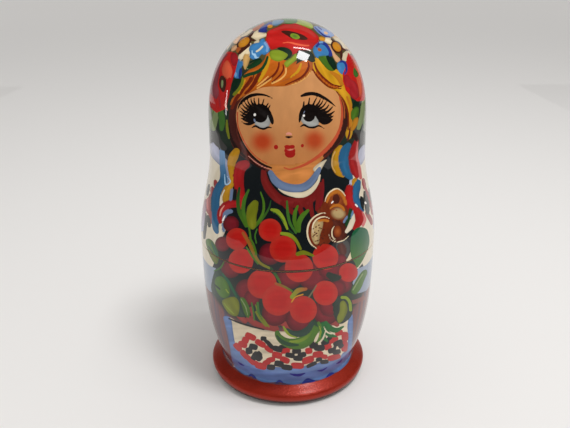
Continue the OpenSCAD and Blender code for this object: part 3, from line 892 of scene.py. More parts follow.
LILAC_TIP = [
    (358.6, 152), (361.4, 147), (365, 144.5), (366.4, 152), (364.6, 159), (361, 165), (358.4, 161),
]
print("ribbons:", len(RIBBONS), "marks")

# %% [markdown]
# ## The mushroom
#
# A brown mushroom stands among the grass at the doll's left side, with a spiral stalk and dotted gills.
# Its parts are areas and ovals, and pale lines and a loop of dots go over them.

# %% The mushroom
MUSHROOM_AREAS = [
    (2, "chestnut", [(317, 212), (321, 206), (325, 198), (330, 191.4), (336, 189), (342, 191), (346, 197),
        (348.4, 205), (349.6, 212), (348, 219), (344, 223), (338, 223), (332, 220), (326, 217),
        (320, 214)]),
    (2, "cocoa", [(326, 224), (332, 220), (340, 221), (346, 226), (347, 234), (343, 241), (336, 243),
        (330, 240), (326, 232)]),
    (3, "chestnut", [(307, 236), (306.5, 229), (309, 221), (314, 216), (321, 214), (327, 216), (331, 219),
        (333.5, 224), (331, 229), (329, 235), (330.5, 241), (326, 246), (320, 248.5), (314, 247),
        (309.5, 242)]),
    (4, "gill", [(311.6, 238), (311.4, 230), (314, 223), (319, 220.4), (323, 222), (322.4, 228),
        (320, 235), (319, 243), (315, 244)]),
    (2, "iron", [(336, 243), (344, 240), (348.5, 242), (350, 250), (347.5, 257), (343, 260), (338, 254)]),
    (2, "cocoa", [(337, 246), (342, 243), (346, 247), (346, 254), (341, 256)]),
]
MUSHROOM_OVALS = [
    (3, "rust chestnut", (336, 201), (9, 9.4), 0),
    (4, "cocoa", (336.2, 199.2), (3.6, 5), 0),
    (4, "rust gill chestnut", (338.4, 213.4), (8.4, 6.6), 10),
    (5, "gill", (339, 214), (4.6, 3.6), 10),
    (4, "rust chestnut", (337.6, 231.4), (4, 6), 0),
]
MUSHROOM_STROKES = [
    (3, "cap_light", [2, 4, 4, 2.4], [(327, 202), (330, 195), (336.6, 191.4), (342.6, 195), (346, 204)]),
    (4, "petal", [0.6, 1.4, 1.6, 1], [(325, 202), (326.4, 197), (330, 192), (336.4, 188.6), (342, 191.4),
        (345.4, 196)]),
    # painted highlight: a white glint of the lacquer on the mushroom's cap
    (5, "white", 1.4, [(331.6, 203), (333, 201.4)]),
    (5, "cap_light", [1.6, 3, 2.4], [(330.2, 208.6), (333.6, 206), (338, 205.2), (342, 207), (344, 210)]),
    (5, "cap", 1, [(332, 210), (335, 209.4), (337, 210.6)]),
    (5, "petal", [1.2, 1.7, 1.7, 1.5, 1.2], [(316.5, 248.4), (311, 244), (308, 237.4), (307.4, 230),
        (309.4, 222.8), (314, 217.2), (320, 213.8), (326, 213)]),
    (5, "petal", [1, 1.6, 1.5, 1], [(313.2, 233), (312.6, 226.4), (315.6, 220.4), (320.6, 217.4),
        (326, 217), (329.4, 218.6)]),
    (4, "cap_light", 2.6, [(319, 221), (323, 220.2), (328, 221)]),
    (5, "petal", [0.7, 1.3, 1.3, 0.8], [(334.4, 226), (332.2, 230), (332.2, 236), (335, 239.2),
        (338.6, 238.6)]),
    (5, "petal", [0.6, 1.1, 1.1, 0.8], [(328.6, 233.6), (331, 239.6), (337, 242), (344, 240),
        (348.6, 236)]),
    (3, "leaf_dark", [3, 4.4, 4.4, 3], [(350.6, 209.6), (350, 215), (348.6, 220), (346.4, 225)]),
    (3, "steel", 2, [(352.6, 212), (351.6, 217.4)]),
    (3, "slate", 2.4, [(346.6, 217), (344, 222)]),
    (3, "cream", [2, 5, 5.4, 3.4], [(354, 215), (352.6, 221), (350, 227), (346.6, 231.6)]),
]
GILL_SPOT = (1.0, 0.8)
GILL_SPOTS = [
    (313, 237), (315.4, 241), (318.6, 244.6), (314.6, 232), (317, 236), (319.6, 240), (321.6, 244),
    (316, 227), (318.4, 231), (320.6, 235), (323, 239), (318.8, 225), (321, 228.4), (322.8, 232),
    (324.6, 235.6), (313.4, 229), (324, 242.6), (316.6, 233.4), (319.4, 228), (321.8, 237.4),
    (314.4, 235), (317.6, 240.6), (323.8, 229.4), (320.4, 246.2),
]
print("mushroom:", len(MUSHROOM_AREAS + MUSHROOM_OVALS + MUSHROOM_STROKES + GILL_SPOTS), "marks")

# %% [markdown]
# ## Berries and leaves
#
# Bright berries overlap darker ones, which gives the bunch its depth without any shading. A berry is only
# a place and a radius, so a loop can lay them all. Blades of grass rise above them, and leaves lie at
# both sides.

# %% Berries and leaves
BERRIES_DEEP = [
    (231, 224, 8), (222.5, 244, 7.5), (231, 268, 10), (270, 254, 11), (246.5, 290, 11), (252, 298, 8),
    (275, 313, 13), (299, 319, 13), (290, 276, 13), (312, 276, 14), (330, 268, 12), (341, 260, 6),
    (343, 284, 9), (326, 312, 13), (338, 288, 8), (330, 306, 11),
]
BERRIES = [
    (270, 230, 11.4), (283, 249, 13.4), (237, 239, 11), (241, 261, 12.4), (299, 268, 14.2),
    (325.4, 257, 13), (348.4, 272.5, 9.4), (262, 284, 14.6), (278, 300, 15.6), (303.4, 309.6, 13.6),
    (325.4, 293, 12.4),
]
GREENS = [
    (4, "leaf_dark leaf", [2.4, 3.6, 4, 3], [(239.4, 188), (238, 200), (239.4, 212), (246, 226)]),
    (5, "grass leaf", [2, 4, 4, 2.6], [(248.6, 190), (244.4, 200), (243.4, 212), (248, 226)]),
    (5, "leaf", [1.4, 2.6, 2.6, 2], [(260.6, 192), (263.6, 202), (263.2, 212), (258.6, 221), (252, 228)]),
    (4, "leaf_dark leaf", [1, 2.4, 2.2], [(271, 200), (268.6, 209), (262, 219), (254, 228)]),
    (6, "olive", [7, 11, 10.4, 9, 5], [(255, 203.5), (252.6, 209), (251.4, 216), (252, 223),
        (252.6, 227)]),
    (5, "leaf", 2, [(249, 227), (250.6, 238)]),
    (5, "grass", 1.6, [(257, 229), (255, 236), (256.4, 243)]),
    (5, "leaf_light", [2.6, 4.4, 4, 2.2], [(271.6, 209.6), (277.6, 211.6), (283, 218.6), (287.4, 229)]),
    (6, "grass", 1.2, [(273, 212), (278.6, 215.4), (283.6, 222)]),
    (4, "grass", [1.6, 3, 3, 2], [(287, 201), (287.6, 212), (290, 223), (296, 233)]),
    (5, "leaf", [2, 4, 4, 3], [(297.6, 206), (295, 213), (294.6, 222), (297.6, 231)]),
    (6, "leaf", [3, 5, 5, 3.4], [(308, 210.6), (302.4, 216), (299, 223), (299, 231)]),
    (4, "leaf_dark", 1.6, [(283, 219), (286.4, 227), (293, 234)]),
    (6, "leaf_light olive", [3, 4, 3.4, 2.4], [(281.6, 233.4), (289.6, 235), (296, 240.4), (300.6, 249)]),
    (6, "olive", [4, 4.4, 2.4], [(297.6, 254), (304, 252.6), (313, 255.6)]),
    (5, "rust olive", [3, 3.6, 3, 2.4], [(243, 233), (249, 243), (254, 254), (260, 263), (270, 268.4)]),
    (6, "leaf", [1.6, 2, 1.6], [(246.4, 247), (252, 256), (258, 264)]),
    (5, "leaf", [1.8, 2.4], [(249.6, 237), (254, 246), (256, 254)]),
    (5, "leaf_dark leaf", [2.6, 2.8, 2], [(271, 268.4), (276.4, 276), (280.4, 283)]),
    (6, "rust leaf", [2.6, 2.4, 2], [(276, 283.6), (284, 286.6), (292, 291)]),
    (5, "leaf_light rust", [4, 5, 3], [(292, 297), (298, 290.6), (306, 289)]),
    (6, "sun", 1.3, [(291.6, 302), (295.6, 297), (303, 294.4)]),
    (5, "fog", [1.6, 1.4, 1], [(309, 297), (313, 291), (316.6, 285)]),
    (4, "moss", [6, 8, 5], [(329, 275), (334, 277.6), (339, 277.4)]),
]
LEAF_AREAS = [
    (4, "leaf", [(205.6, 240.6), (209, 238.6), (213, 241.6), (216.6, 248), (218.6, 256), (218, 262.4),
        (215, 264), (211, 258), (207.6, 250)]),
    (5, "jade", [(211, 241.4), (214.6, 246), (218.4, 254.6), (217.4, 257), (213.6, 251)]),
    (5, "olive", [(208.4, 250), (212.4, 253), (217, 259), (217, 263.4), (212.6, 260)]),
    (4, "leaf", [(214.6, 281), (217, 277), (222, 276.4), (226.6, 281), (229.4, 288), (230, 294),
        (226, 298), (221, 297), (216.6, 291)]),
    (3, "spruce", [(216, 268), (222, 272), (230, 283), (238, 294), (243, 303), (246, 316), (236, 316),
        (226, 306), (217, 298), (211, 288)]),
    (5, "olive", [(222, 301), (228, 297.6), (235, 297), (239, 302), (239.4, 310), (237, 316),
        (230, 314.4), (224.6, 308)]),
    (5, "leaf", [(240, 298), (244.4, 298.4), (248.4, 305), (250, 312), (248.6, 318), (244.6, 314),
        (242, 306)]),
    (4, "leaf", [(351.4, 290), (354, 284), (358, 277), (362, 271.5), (366, 269.5), (367.4, 273),
        (364.4, 280), (361.4, 287.5), (358, 292.5), (355, 294.6), (352, 293)]),
    (4, "olive", [(340, 303), (343, 300.5), (346, 303), (347.6, 309), (346, 315), (342.6, 321),
        (338.6, 323), (337, 318), (339.6, 311)]),
    (3, "moss", [(333, 300), (340, 296), (350, 298), (353, 308), (350, 318), (340, 324), (334, 316)]),
]
BIG_LEAF = [
    (350.5, 243), (351.5, 236), (354, 230.5), (358, 227.5), (363, 227.5), (367, 229.5), (369, 235),
    (369.5, 243), (367.5, 250), (364, 258), (360, 264.5), (357, 267.5), (355, 263), (351.5, 258),
    (350.5, 252),
]
LEAF_STROKES = [
    (5, "pine", 1.1, [(208, 246), (213, 253)]),
    (5, "jade", [1.6, 3, 2.4, 1.2], [(222.6, 274), (228.6, 282), (233, 290), (236.6, 297)]),
    (6, "leaf_light", [0.8, 1.4, 0.8], [(224, 303), (228.6, 309), (234, 314)]),
    (6, "sage", [0.8, 1.2, 0.8], [(241, 299), (245.6, 307), (247.6, 315)]),
    (4, "grass", [1, 1.8, 1], [(224, 262), (220, 268), (214, 271)]),
    (4, "olive", [1, 2, 1.4], [(255.6, 305), (258.4, 313), (264.6, 321), (269, 327)]),
    (5, "pine", [1.4, 1.8], [(214.6, 284.6), (219.6, 289)]),
    (5, "leaf_light", 1.2, [(226, 289.6), (228.4, 293)]),
    (3, "cream", 1.8, [(370.4, 233), (371, 243), (368, 252), (363, 261), (357.6, 268)]),
    (3, "petal", [2, 4, 2], [(347, 261), (350, 257.4), (351.6, 252)]),
    (5, "sage", 1.2, [(353, 290), (357.6, 282), (362.6, 274)]),
    (5, "leaf_light", 3, [(342, 297.4), (346.4, 298), (349.8, 302.6), (350.6, 310)]),
    (4, "grass", 1.6, [(251.6, 303), (253, 310), (254.4, 320)]),
    (4, "grass", 2.4, [(257.6, 303), (258.6, 312), (261.6, 321)]),
    (4, "olive", 2, [(256, 312), (260, 319), (266, 326)]),
]
print("berries and leaves:", len(BERRIES_DEEP + BERRIES + GREENS + LEAF_AREAS + LEAF_STROKES), "marks")

# %% [markdown]
# ## The apron
#
# The apron is cream with a blue scalloped trim. Red and black dabs imitate cross-stitch, and a green swag
# hangs over them. A repeated pattern could make the dabs, but the painter's are uneven, so each has its
# own place, size and tilt.

# %% The apron
APRON = [
    (228, 317), (238, 322), (250, 326.4), (262, 329.6), (274, 331), (286, 331.6), (300, 331.4),
    (314, 330), (328, 327), (340, 322), (351, 315.6), (352, 330), (350, 350), (344, 362), (330, 370),
    (310, 374), (290, 375), (266, 374), (250, 368), (238, 358), (231, 342), (228.6, 330),
]
TRIM = [
    (223.5, 316.5), (225, 325), (228, 337), (230, 348), (231.5, 358), (235, 367), (240, 371.8),
    (246, 375.2), (252, 375), (256, 378.5), (261, 381.5), (269, 382.4), (276, 382), (279.5, 380.4),
    (283, 382.6), (290, 384.4), (297, 384.4), (303, 382.4), (308, 379.2), (313, 380.4), (320, 379.8),
    (326, 377.4), (330.5, 373), (335, 372.6), (341, 370), (347, 364), (350.5, 356), (352, 345),
    (353, 330), (352.6, 315), (349.4, 315.6), (347.4, 326), (348, 336), (347.6, 344), (347, 350.4),
    (343, 352.6), (340, 357), (334, 360), (327, 361.6), (320, 362), (314, 364.6), (306, 365.4),
    (301, 367.6), (291, 368.2), (281, 367.4), (268, 366), (261, 367.6), (254.6, 364), (248.4, 358.6),
    (242.4, 352.8), (236.8, 347.4), (234.6, 341), (233, 331), (230.6, 318),
]
APRON_STROKES = [
    (3, "navy", [1, 2.6, 2.8, 1], [(290, 373.8), (295, 375), (300, 375), (305, 373.2)]),
    (3, "navy", [0.8, 2, 0.8], [(317.4, 370.8), (322, 370.4), (327, 367.6)]),
    (3, "navy", [0.8, 2, 0.8], [(336.4, 363.8), (339.6, 362), (342.2, 359.2)]),
    (3, "navy", [0.8, 1.8, 0.8], [(238.4, 362.4), (241, 364.2), (244, 365.6)]),
    (2, "navy", [1, 2.6, 2.4, 1], [(248.6, 376), (251, 375), (253.6, 376.4), (256, 378.6)]),
    (2, "navy", [1, 2.4, 1], [(276.4, 382.4), (279.6, 381), (283, 382.6)]),
    (2, "navy", [1.6, 4.4, 3.6, 1.6], [(302.6, 383), (307.6, 380.4), (311, 380.8), (314.6, 381)]),
    (2, "navy", [1, 3, 1], [(326, 377.8), (330.4, 374), (334, 373)]),
    (3, "dab_black", [1.4, 1.8, 1.4], [(229, 318.6), (240, 323), (252, 326.6), (264, 329.6)]),
]
DABS_RED = [
    (250.6, 336.6, 6, 3.2, 26), (245.4, 340.2, 3.8, 3.4, 20), (242.6, 344.6, 5, 3, 22),
    (237.6, 347, 5, 2.9, 46), (260.4, 343.4, 6, 3.1, 30), (269, 349.2, 4.8, 2.9, 32),
    (244.6, 354.6, 5.4, 3, 48), (251.6, 360.8, 5.2, 3, 42), (261, 366, 6, 3.4, 14),
    (270.8, 359.8, 4.6, 2.8, -12), (277, 355.2, 5.2, 3.3, 16), (284.8, 360, 5.2, 3.2, 20),
    (285.4, 350.8, 4.8, 2.9, -8), (297.4, 365.7, 6.8, 3.3, 3), (308, 360, 6.4, 3.6, -18),
    (308.8, 350.8, 3.7, 3.3, -10), (318, 354.4, 5.6, 3.3, -5), (324, 356.6, 3.7, 2.4, 10),
    (327.6, 346.6, 4.2, 3.4, -22), (333.4, 339.6, 5.2, 3.2, -28), (266.6, 362.6, 4.2, 3, -28),
    (291.6, 347.8, 4.6, 1.7, 0), (248, 357.6, 3.4, 2.6, 44), (256.4, 363.8, 3.4, 2.6, 36),
    (339, 332.8, 4.2, 3, -10), (345, 336.4, 3.6, 4.8, 0), (344.6, 346.4, 3.3, 5.6, 5),
    (334, 357.4, 7, 2.9, -14),
]
DABS_BLACK = [
    (263.5, 338.6, 3.1, 2.4, 5), (269.6, 344.6, 5.6, 2.2, 48), (277.6, 349, 5.2, 3, 16),
    (283, 346.6, 4.2, 1.9, 0), (253.4, 346.8, 4.6, 3, 16), (249, 350.8, 3.5, 3.6, -10),
    (257.4, 356.4, 5.6, 3.8, 42), (271, 367.2, 4.3, 2.9, 5), (279, 363.8, 4.9, 3.2, 10),
    (287, 367.4, 5.8, 2.9, 8), (290, 355.3, 4.9, 2.7, 10), (296.6, 351, 4.7, 2.9, 0),
    (302, 355, 4.5, 2.8, -15), (298, 358.4, 4.9, 2.7, 5), (313.6, 345, 4.6, 3.8, 0),
    (319.4, 348, 5.6, 3.2, 0), (325, 341.8, 4.4, 3.2, -15), (329, 338.6, 3.5, 2, -35),
    (338, 343, 5.2, 2.7, -26), (341, 345.8, 3, 2.3, -40), (259.4, 354, 3.2, 2.3, 48),
    (253.8, 357.6, 3, 2.6, 30), (266.4, 341.6, 3, 1.8, 46), (334.4, 348.6, 1.6, 3.2, 20),
    (332, 350.6, 4.3, 2.8, -15), (336.6, 352, 4.3, 2.6, -10), (319, 359.6, 3.3, 2.2, -10),
    (324.4, 361.8, 4.4, 2.2, -5), (311.6, 364.6, 5.8, 2.1, -24),
]
SWAG = [
    (275, 331.6), (278.4, 330.6), (281, 334.4), (285, 337.2), (290, 338.6), (296, 338.2), (302, 335.8),
    (307, 332), (310.6, 327.6), (313, 322.6), (318, 323.4), (319.4, 329), (318, 335), (314.6, 340),
    (310, 345), (304, 348.4), (297, 349.4), (290, 348.6), (283.6, 346), (278.6, 342), (275.4, 337),
]
APRON_GREENS = [
    (6, "leaf_dark", [2, 4, 4, 2], [(277, 336), (282, 341.6), (290, 344.6), (298, 345)]),
    (6, "leaf_light leaf", [1.6, 3.4, 3, 1.4], [(290, 341.6), (299, 341), (307, 337), (313, 330)]),
    (6, "spruce", [3, 6.4, 7, 5], [(287.4, 329.6), (294, 333.6), (301, 333.4), (307.6, 329.8),
        (312, 323.6)]),
    (7, "leaf_light", [1.6, 2.8, 2, 1.2], [(283.4, 326.6), (286.4, 331.6), (290.6, 335.6), (297, 337.6)]),
    (6, "leaf", [3, 4.4, 4, 1.6], [(318.6, 323), (321.4, 330.6), (320.6, 337), (316.8, 342.6)]),
    (7, "leaf_light", [1, 1.6, 1], [(319.4, 326), (320.8, 332), (319.4, 337.4)]),
    (6, "emerald", [3.4, 5.2, 4.6, 1.6], [(323, 324), (325.6, 330.6), (330, 335), (336.4, 336.6)]),
    (6, "emerald", [3.4, 5.4, 5, 1.6], [(326, 322.6), (330.4, 328.2), (336.4, 330.2), (343.4, 326.6)]),
    (6, "emerald", [3, 4.4, 2.4], [(322, 330), (323.4, 337), (327, 341)]),
    (7, "ivory", [0.8, 1.6, 1.4, 0.7], [(323.8, 326.6), (326.4, 331.4), (330.6, 333.6), (335, 333.4)]),
    (7, "apron", [0.8, 2.4, 2, 1.2], [(318.4, 333), (316.8, 337), (315.2, 340), (315, 342)]),
    (7, "apron", [0.6, 1.6, 1.8, 1], [(325.4, 331), (324.2, 335.6), (322.6, 339), (320.6, 342)]),
    (5, "leaf_dark", [3, 4.4, 3], [(312, 321.6), (318, 324.6), (325, 322.6)]),
]


# a stitch is a rounded box, a little smaller than its place
DAB = 0.97
DAB_CORNERS = 3.4
print("apron:", len(APRON_STROKES + DABS_RED + DABS_BLACK + APRON_GREENS), "marks")


# %% [markdown]
# ## Laying the front
#
# Now the lists are laid on a canvas in order, from the apron up to the wreath, because later marks cover
# earlier ones. Two tints change across their area: the blush on the face, and the big leaf that runs from
# jade to light green.

# %% Laying the front
# the big leaf turns lighter from this row of pixels on, over so many pixels
LEAF_TOP_Y, LEAF_SPAN = 230, 32


def big_leaf_tint(pixels):
    """Jade at the top of the leaf, running into grass green at its foot."""
    low = ease((pixels[:, 1] - LEAF_TOP_Y) / LEAF_SPAN)[:, None]
    return PAINT["jade"] * (1 - low) + PAINT["grass"] * low


def lay_strokes(canvas, rows):
    """Lay each row's stroke, in order."""
    for coat, paints, width, points in rows:
        canvas.line(coat, points, width, *mixed(paints))


def lay_ovals(canvas, rows):
    """Lay each row's oval, in order."""
    for coat, paints, centre, radii, tilt in rows:
        canvas.oval(coat, centre, radii, tilt, *mixed(paints))


def lay_areas(canvas, rows):
    """Fill each row's outline, in order."""
    for coat, paint, outline in rows:
        canvas.area(coat, outline, PAINT[paint])


def paint_front(canvas):
    """All that the photograph shows, from the apron up to the wreath."""
    canvas.area(0, APRON, PAINT["apron"])
    canvas.area(1, TRIM, PAINT["trim"])
    lay_strokes(canvas, APRON_STROKES)
    for coat, paint, dabs in ((2, "dab_red", DABS_RED), (3, "dab_black", DABS_BLACK)):
        for x, y, rx, ry, tilt in dabs:
            canvas.oval(coat, (x, y), (DAB * rx, DAB * ry), tilt, PAINT[paint], corners=DAB_CORNERS)
    canvas.area(5, SWAG, PAINT["leaf"])
    lay_strokes(canvas, APRON_GREENS)
    lay_areas(canvas, HAIR_AREAS[:2])
    canvas.area(1, FACE, face_tint)
    canvas.area(1, NECK, PAINT["neck"])
    lay_areas(canvas, HAIR_AREAS[2:])
    lay_strokes(canvas, HAIR_STROKES)
    lay_strokes(canvas, FACE_STROKES)
    canvas.area(2, COLLAR_TIP, PAINT["ivory"])
    lay_areas(canvas, EYE_AREAS)
    lay_strokes(canvas, LASHES)
    lay_ovals(canvas, FACE_OVALS)
    lay_strokes(canvas, FACE_GLINTS)
    lay_strokes(canvas, RIBBONS)
    canvas.area(2, LILAC_TIP, PAINT["lilac"])
    lay_areas(canvas, MUSHROOM_AREAS)
    lay_ovals(canvas, MUSHROOM_OVALS)
    lay_strokes(canvas, MUSHROOM_STROKES)
    for place in GILL_SPOTS:
        canvas.oval(5, place, GILL_SPOT, 0, PAINT["cocoa"])
    for coat, paints, berries in ((3, "wine wine wine_dark", BERRIES_DEEP),
        (4, "berry berry berry_low", BERRIES)):
        for x, y, r in berries:
            canvas.oval(coat, (x, y), (r, r), 0, *mixed(paints))
    lay_areas(canvas, LEAF_AREAS)
    canvas.area(4, BIG_LEAF, big_leaf_tint)
    lay_strokes(canvas, LEAF_STROKES)
    lay_strokes(canvas, GREENS)
    lay_areas(canvas, WREATH_AREAS)
    lay_ovals(canvas, WREATH_OVALS)
    lay_strokes(canvas, WREATH_STROKES)


print("the front is laid from the apron up to the wreath")


# %% [markdown]
# ## Motifs
#
# The photograph shows only the front. The sides and the back are painted by angle and height instead of
# by pixels, which goes all the way round. Here are the motifs they need: a spot, a band, a ring of
# petals, three flowers and a leaf.

# %% Motifs placed by angle and height
# Angles are degrees from the front, and heights and widths are millimetres on the largest doll.
UP_STEP = 0.2


def frame_at(degrees, z):
    """A point of the skin with the directions across and up the skin there."""
    here = on_skin(degrees, z)
    turn = np.radians(degrees)
    across = np.array([np.cos(turn), np.sin(turn), 0])
    up = on_skin(degrees, min(z + UP_STEP, DOLL_H)) - on_skin(degrees, z - UP_STEP)
    return here, across, up / np.linalg.norm(up)


def spot(canvas, coat, place, radii, tilt, paints):
    """An ellipse laid on the skin around a place, its tilt turned from across towards up."""
    here, across, up = frame_at(*place)
    away = canvas.points - here
    index = np.flatnonzero((away ** 2).sum(1) < (max(radii) + MARGIN) ** 2)
    if len(index) == 0:
        return
    away = away[index]
    turn = np.radians(tilt)
    u = away @ (across * np.cos(turn) + up * np.sin(turn))
    v = away @ (up * np.cos(turn) - across * np.sin(turn))
    ring = np.hypot(u / radii[0], v / radii[1])
    canvas.lay(coat, index, (1 - ring) * min(radii), between(ring, mixed(paints)))


def band(canvas, coat, points, width, paints):
    """A stroke through angles and heights, with its width in millimetres."""
    chart = smooth(points)
    canvas.brush(coat, on_skin(chart[:, 0], chart[:, 1]), width, mixed(paints))


def ring_of(canvas, coat, place, count, reach, radii, start, paints):
    """Equal petals round a place, each an ellipse that points away from it."""
    here, across, up = frame_at(*place)
    for turn in np.radians(start + np.arange(count) * 360 / count):
        middle = here + reach * (across * np.cos(turn) + up * np.sin(turn))
        degrees = np.degrees(np.arctan2(middle[0], -middle[1]))
        spot(canvas, coat, (degrees, middle[2]), radii, np.degrees(turn), paints)


# A flower is rings of petals and then the spots of its eye, all in shares of its size.
# A ring is coat, petals, reach, radii, angle of the first and paints. A spot is coat, radii, tilt, paints.
FLOWERS = {
    "daisy": ([(4, 9, 0.62, (0.4, 0.17), 12, "peach petal")], [(5, (0.36, 0.36), 0, "brown"),
        (6, (0.28, 0.26), 0, "sun tan")]),
    "cornflower": ([(5, 5, 0.5, (0.5, 0.36), 20, "blue_light blue"), (6, 5, 0.62, (0.26, 0.08),
        38, "navy")], [(6, (0.2, 0.17), 0, "tan")]),
    "poppy": ([(6, 4, 0.48, (0.56, 0.62), 40, "poppy poppy poppy_dim"), (7, 6, 0.62, (0.26, 0.06),
        15, "ember")], [(7, (0.34, 0.24), 10, "brown"), (8, (0.2, 0.12), 10, "grass leaf_light")]),
}


def flower(canvas, kind, place, size):
    """One flower of the wreath: its rings of petals, and its eye over them."""
    rings, eye = FLOWERS[kind]
    for coat, count, reach, radii, start, paints in rings:
        ring_of(canvas, coat, place, count, reach * size, np.array(radii) * size, start, paints)
    for coat, radii, tilt, paints in eye:
        spot(canvas, coat, place, np.array(radii) * size, tilt, paints)


LEAF_COAT = 3


def leaf(canvas, points, width, paint, light):
    """A leaf as one stroke that swells in the middle, with a lighter stroke along it."""
    band(canvas, LEAF_COAT, points, [0.6, 0.8 * width, width, 0.7 * width, 0.5], paint)
    band(canvas, LEAF_COAT + 1, points, [0.3, 0.3 * width, 0.34 * width, 0.2], light)


print("flowers:", ", ".join(FLOWERS))

# %% [markdown]
# ## The sleeves
#
# Each side has a cream sleeve with a grey cuff and rows of stitches. The two are alike, so one outline is
# mirrored. The strokes that the photograph shows at the doll's edges are in pixels again.

# %% The sleeves
SLEEVE = [
    (47, 98), (50, 108), (56, 113), (75, 114.5), (95, 111), (104, 101), (106, 86), (101, 72), (86, 64),
    (66, 62.5), (56, 64.5), (50, 72), (47, 85),
]
CUFF = [(44, 60), (49, 66), (60, 64.6), (84, 65), (98, 66), (100, 57), (86, 50), (64, 50), (50, 53)]
POPPY_LEFT = [
    (-60.6, 158), (-47.4, 156.5), (-44.7, 154.8), (-43.4, 151.2), (-44.3, 146.6), (-44.6, 141.5),
    (-47.7, 136.5), (-57.8, 134), (-72, 135), (-84, 138.5), (-89, 145), (-86, 151), (-78, 155.5),
    (-70, 157.6),
]
POPPY_RIGHT = [
    (69.9, 157), (60, 155.4), (52, 152.4), (46, 150.4), (44, 147.7), (45, 144), (50, 141), (56.9, 138.6),
    (70, 137.4), (82, 139), (89, 144), (87, 150), (80, 154.6),
]
SLEEVE_STROKES = [
    (1, "cream", [4, 7, 8, 7, 5], [(218.6, 208), (219.6, 216), (221, 223), (222, 230), (219, 238)]),
    (1, "rosewood", [3, 4.4, 3], [(215.2, 181), (215.8, 184), (216, 188)]),
    (1, "rosewood", [3.4, 4.6, 3.4], [(212, 188), (212.4, 191), (212.4, 195)]),
    (1, "rosewood", [3, 4.4, 5, 5, 4.6, 4.4, 4], [(210.6, 195), (209.6, 200), (208, 205), (208.4, 210),
        (210.8, 214), (212, 218), (212.6, 222)]),
    (1, "rose", [1, 2.4, 1], [(207.6, 198), (207, 204), (208, 209)]),
    (1, "iron", [2, 3.4, 2], [(209, 185), (208, 190), (207.4, 195)]),
    (1, "iron", [2.4, 3.4, 2.4], [(211.6, 198), (212.2, 204), (212, 210)]),
    (1, "iron", [2.4, 3.6, 3], [(208, 216), (209, 221), (209.4, 226)]),
    (1, "iron", [2, 4, 3.6, 2.4], [(205.6, 214), (205.4, 222), (204.8, 230), (204.4, 238)]),
    (1, "dusk_rose lilac", [2.4, 3.6, 3.6, 3], [(205.6, 200), (204.4, 208), (203, 218), (202, 230)]),
    (1, "slate", 2.6, [(223, 224), (223.6, 231)]),
    (1, "rosewood", [3, 4, 3], [(363.4, 179.6), (364, 184), (364.8, 188)]),
    (1, "rosewood", [2, 2.6, 2.4, 2.4, 2], [(365.4, 188), (367.4, 193), (369.4, 199), (371, 206),
        (372.4, 214)]),
    (1, "rosewood", [3, 4.4, 4, 2.4], [(366.4, 213), (368.4, 216), (370.6, 220), (371.6, 224)]),
    (1, "iron", [2.4, 4.6, 5, 4.6, 3], [(364.6, 192), (365.6, 198), (366.8, 204), (367.4, 210),
        (367.6, 213)]),
    (1, "iron", [2, 3, 2], [(369.2, 189), (370.6, 195), (371.6, 201)]),
    (1, "spruce", [2.4, 4, 2.4], [(361.6, 197.6), (362, 200), (362.6, 203)]),
    # painted highlight: a white glint of the lacquer on the dark mark
    (2, "white", 1.8, [(365.2, 202.4), (365.8, 203.4)]),
    (1, "dusk_rose lilac", [2, 3, 3, 2], [(372.6, 203), (374, 211), (374.6, 220), (374, 228)]),
    (1, "brick", 5, [(239, 316), (245, 321)]),
    (1, "brick", 6, [(249, 318.6), (255, 323.4), (263, 327)]),
    (1, "brick", 3, [(251, 308), (253, 316)]),
    (1, "brick", 6, [(266, 326.6), (276, 329)]),
    (1, "brick", 5, [(271, 325), (281, 322.6)]),
    (1, "brick", 6, [(284, 324), (293, 328)]),
    (1, "brick", 5, [(330, 321), (337, 324.4)]),
    (1, "mauve", 4, [(350, 303), (357, 301), (364, 298)]),
]
# rows of stitches run up the back of each sleeve
STITCH_ANGLE = 94
STITCH_SHIFT = 5
STITCH_ROWS = np.arange(70, 110, 4.6)
STITCH_RADII = (1.7, 1.1)
STITCH_TILT = 40
KNOT_RISE = 2.3
KNOT_R = 1.3


def mirrored(outline, side):
    """An outline in degrees and heights, on its own side or on the other one."""
    return np.array(outline)[::side] * [side, 1]


def paint_sleeves(canvas):
    """Cream sleeves with grey cuffs and stitches, and the strokes that the photograph shows on them."""
    for side in (-1, 1):
        canvas.zone(0, mirrored(SLEEVE, side), PAINT["cream"])
        canvas.zone(1, mirrored(CUFF, side), PAINT["grey"])
        for step, z in enumerate(STITCH_ROWS):
            for way in (-1, 1):
                place = (side * (STITCH_ANGLE + way * STITCH_SHIFT), z)
                spot(canvas, 1, place, STITCH_RADII, way * STITCH_TILT,
                    "dab_red" if step % 2 else "dab_black")
            spot(canvas, 1, (side * STITCH_ANGLE, z + KNOT_RISE), (KNOT_R, KNOT_R), 0, "rose")
    canvas.zone(6, POPPY_LEFT, PAINT["poppy"])
    canvas.zone(6, POPPY_RIGHT, PAINT["poppy"])
    lay_strokes(canvas, SLEEVE_STROKES)


print("sleeves:", len(SLEEVE_STROKES), "strokes and", 2 * len(STITCH_ROWS), "rows of stitches")

# %% [markdown]
# ## Round the back
#
# The back is guessed: the wreath closes behind the head, hair and ribbons fall from it, and a hem of
# leaves and berries runs round the skirt. Most of it is painted twice, once for each side.

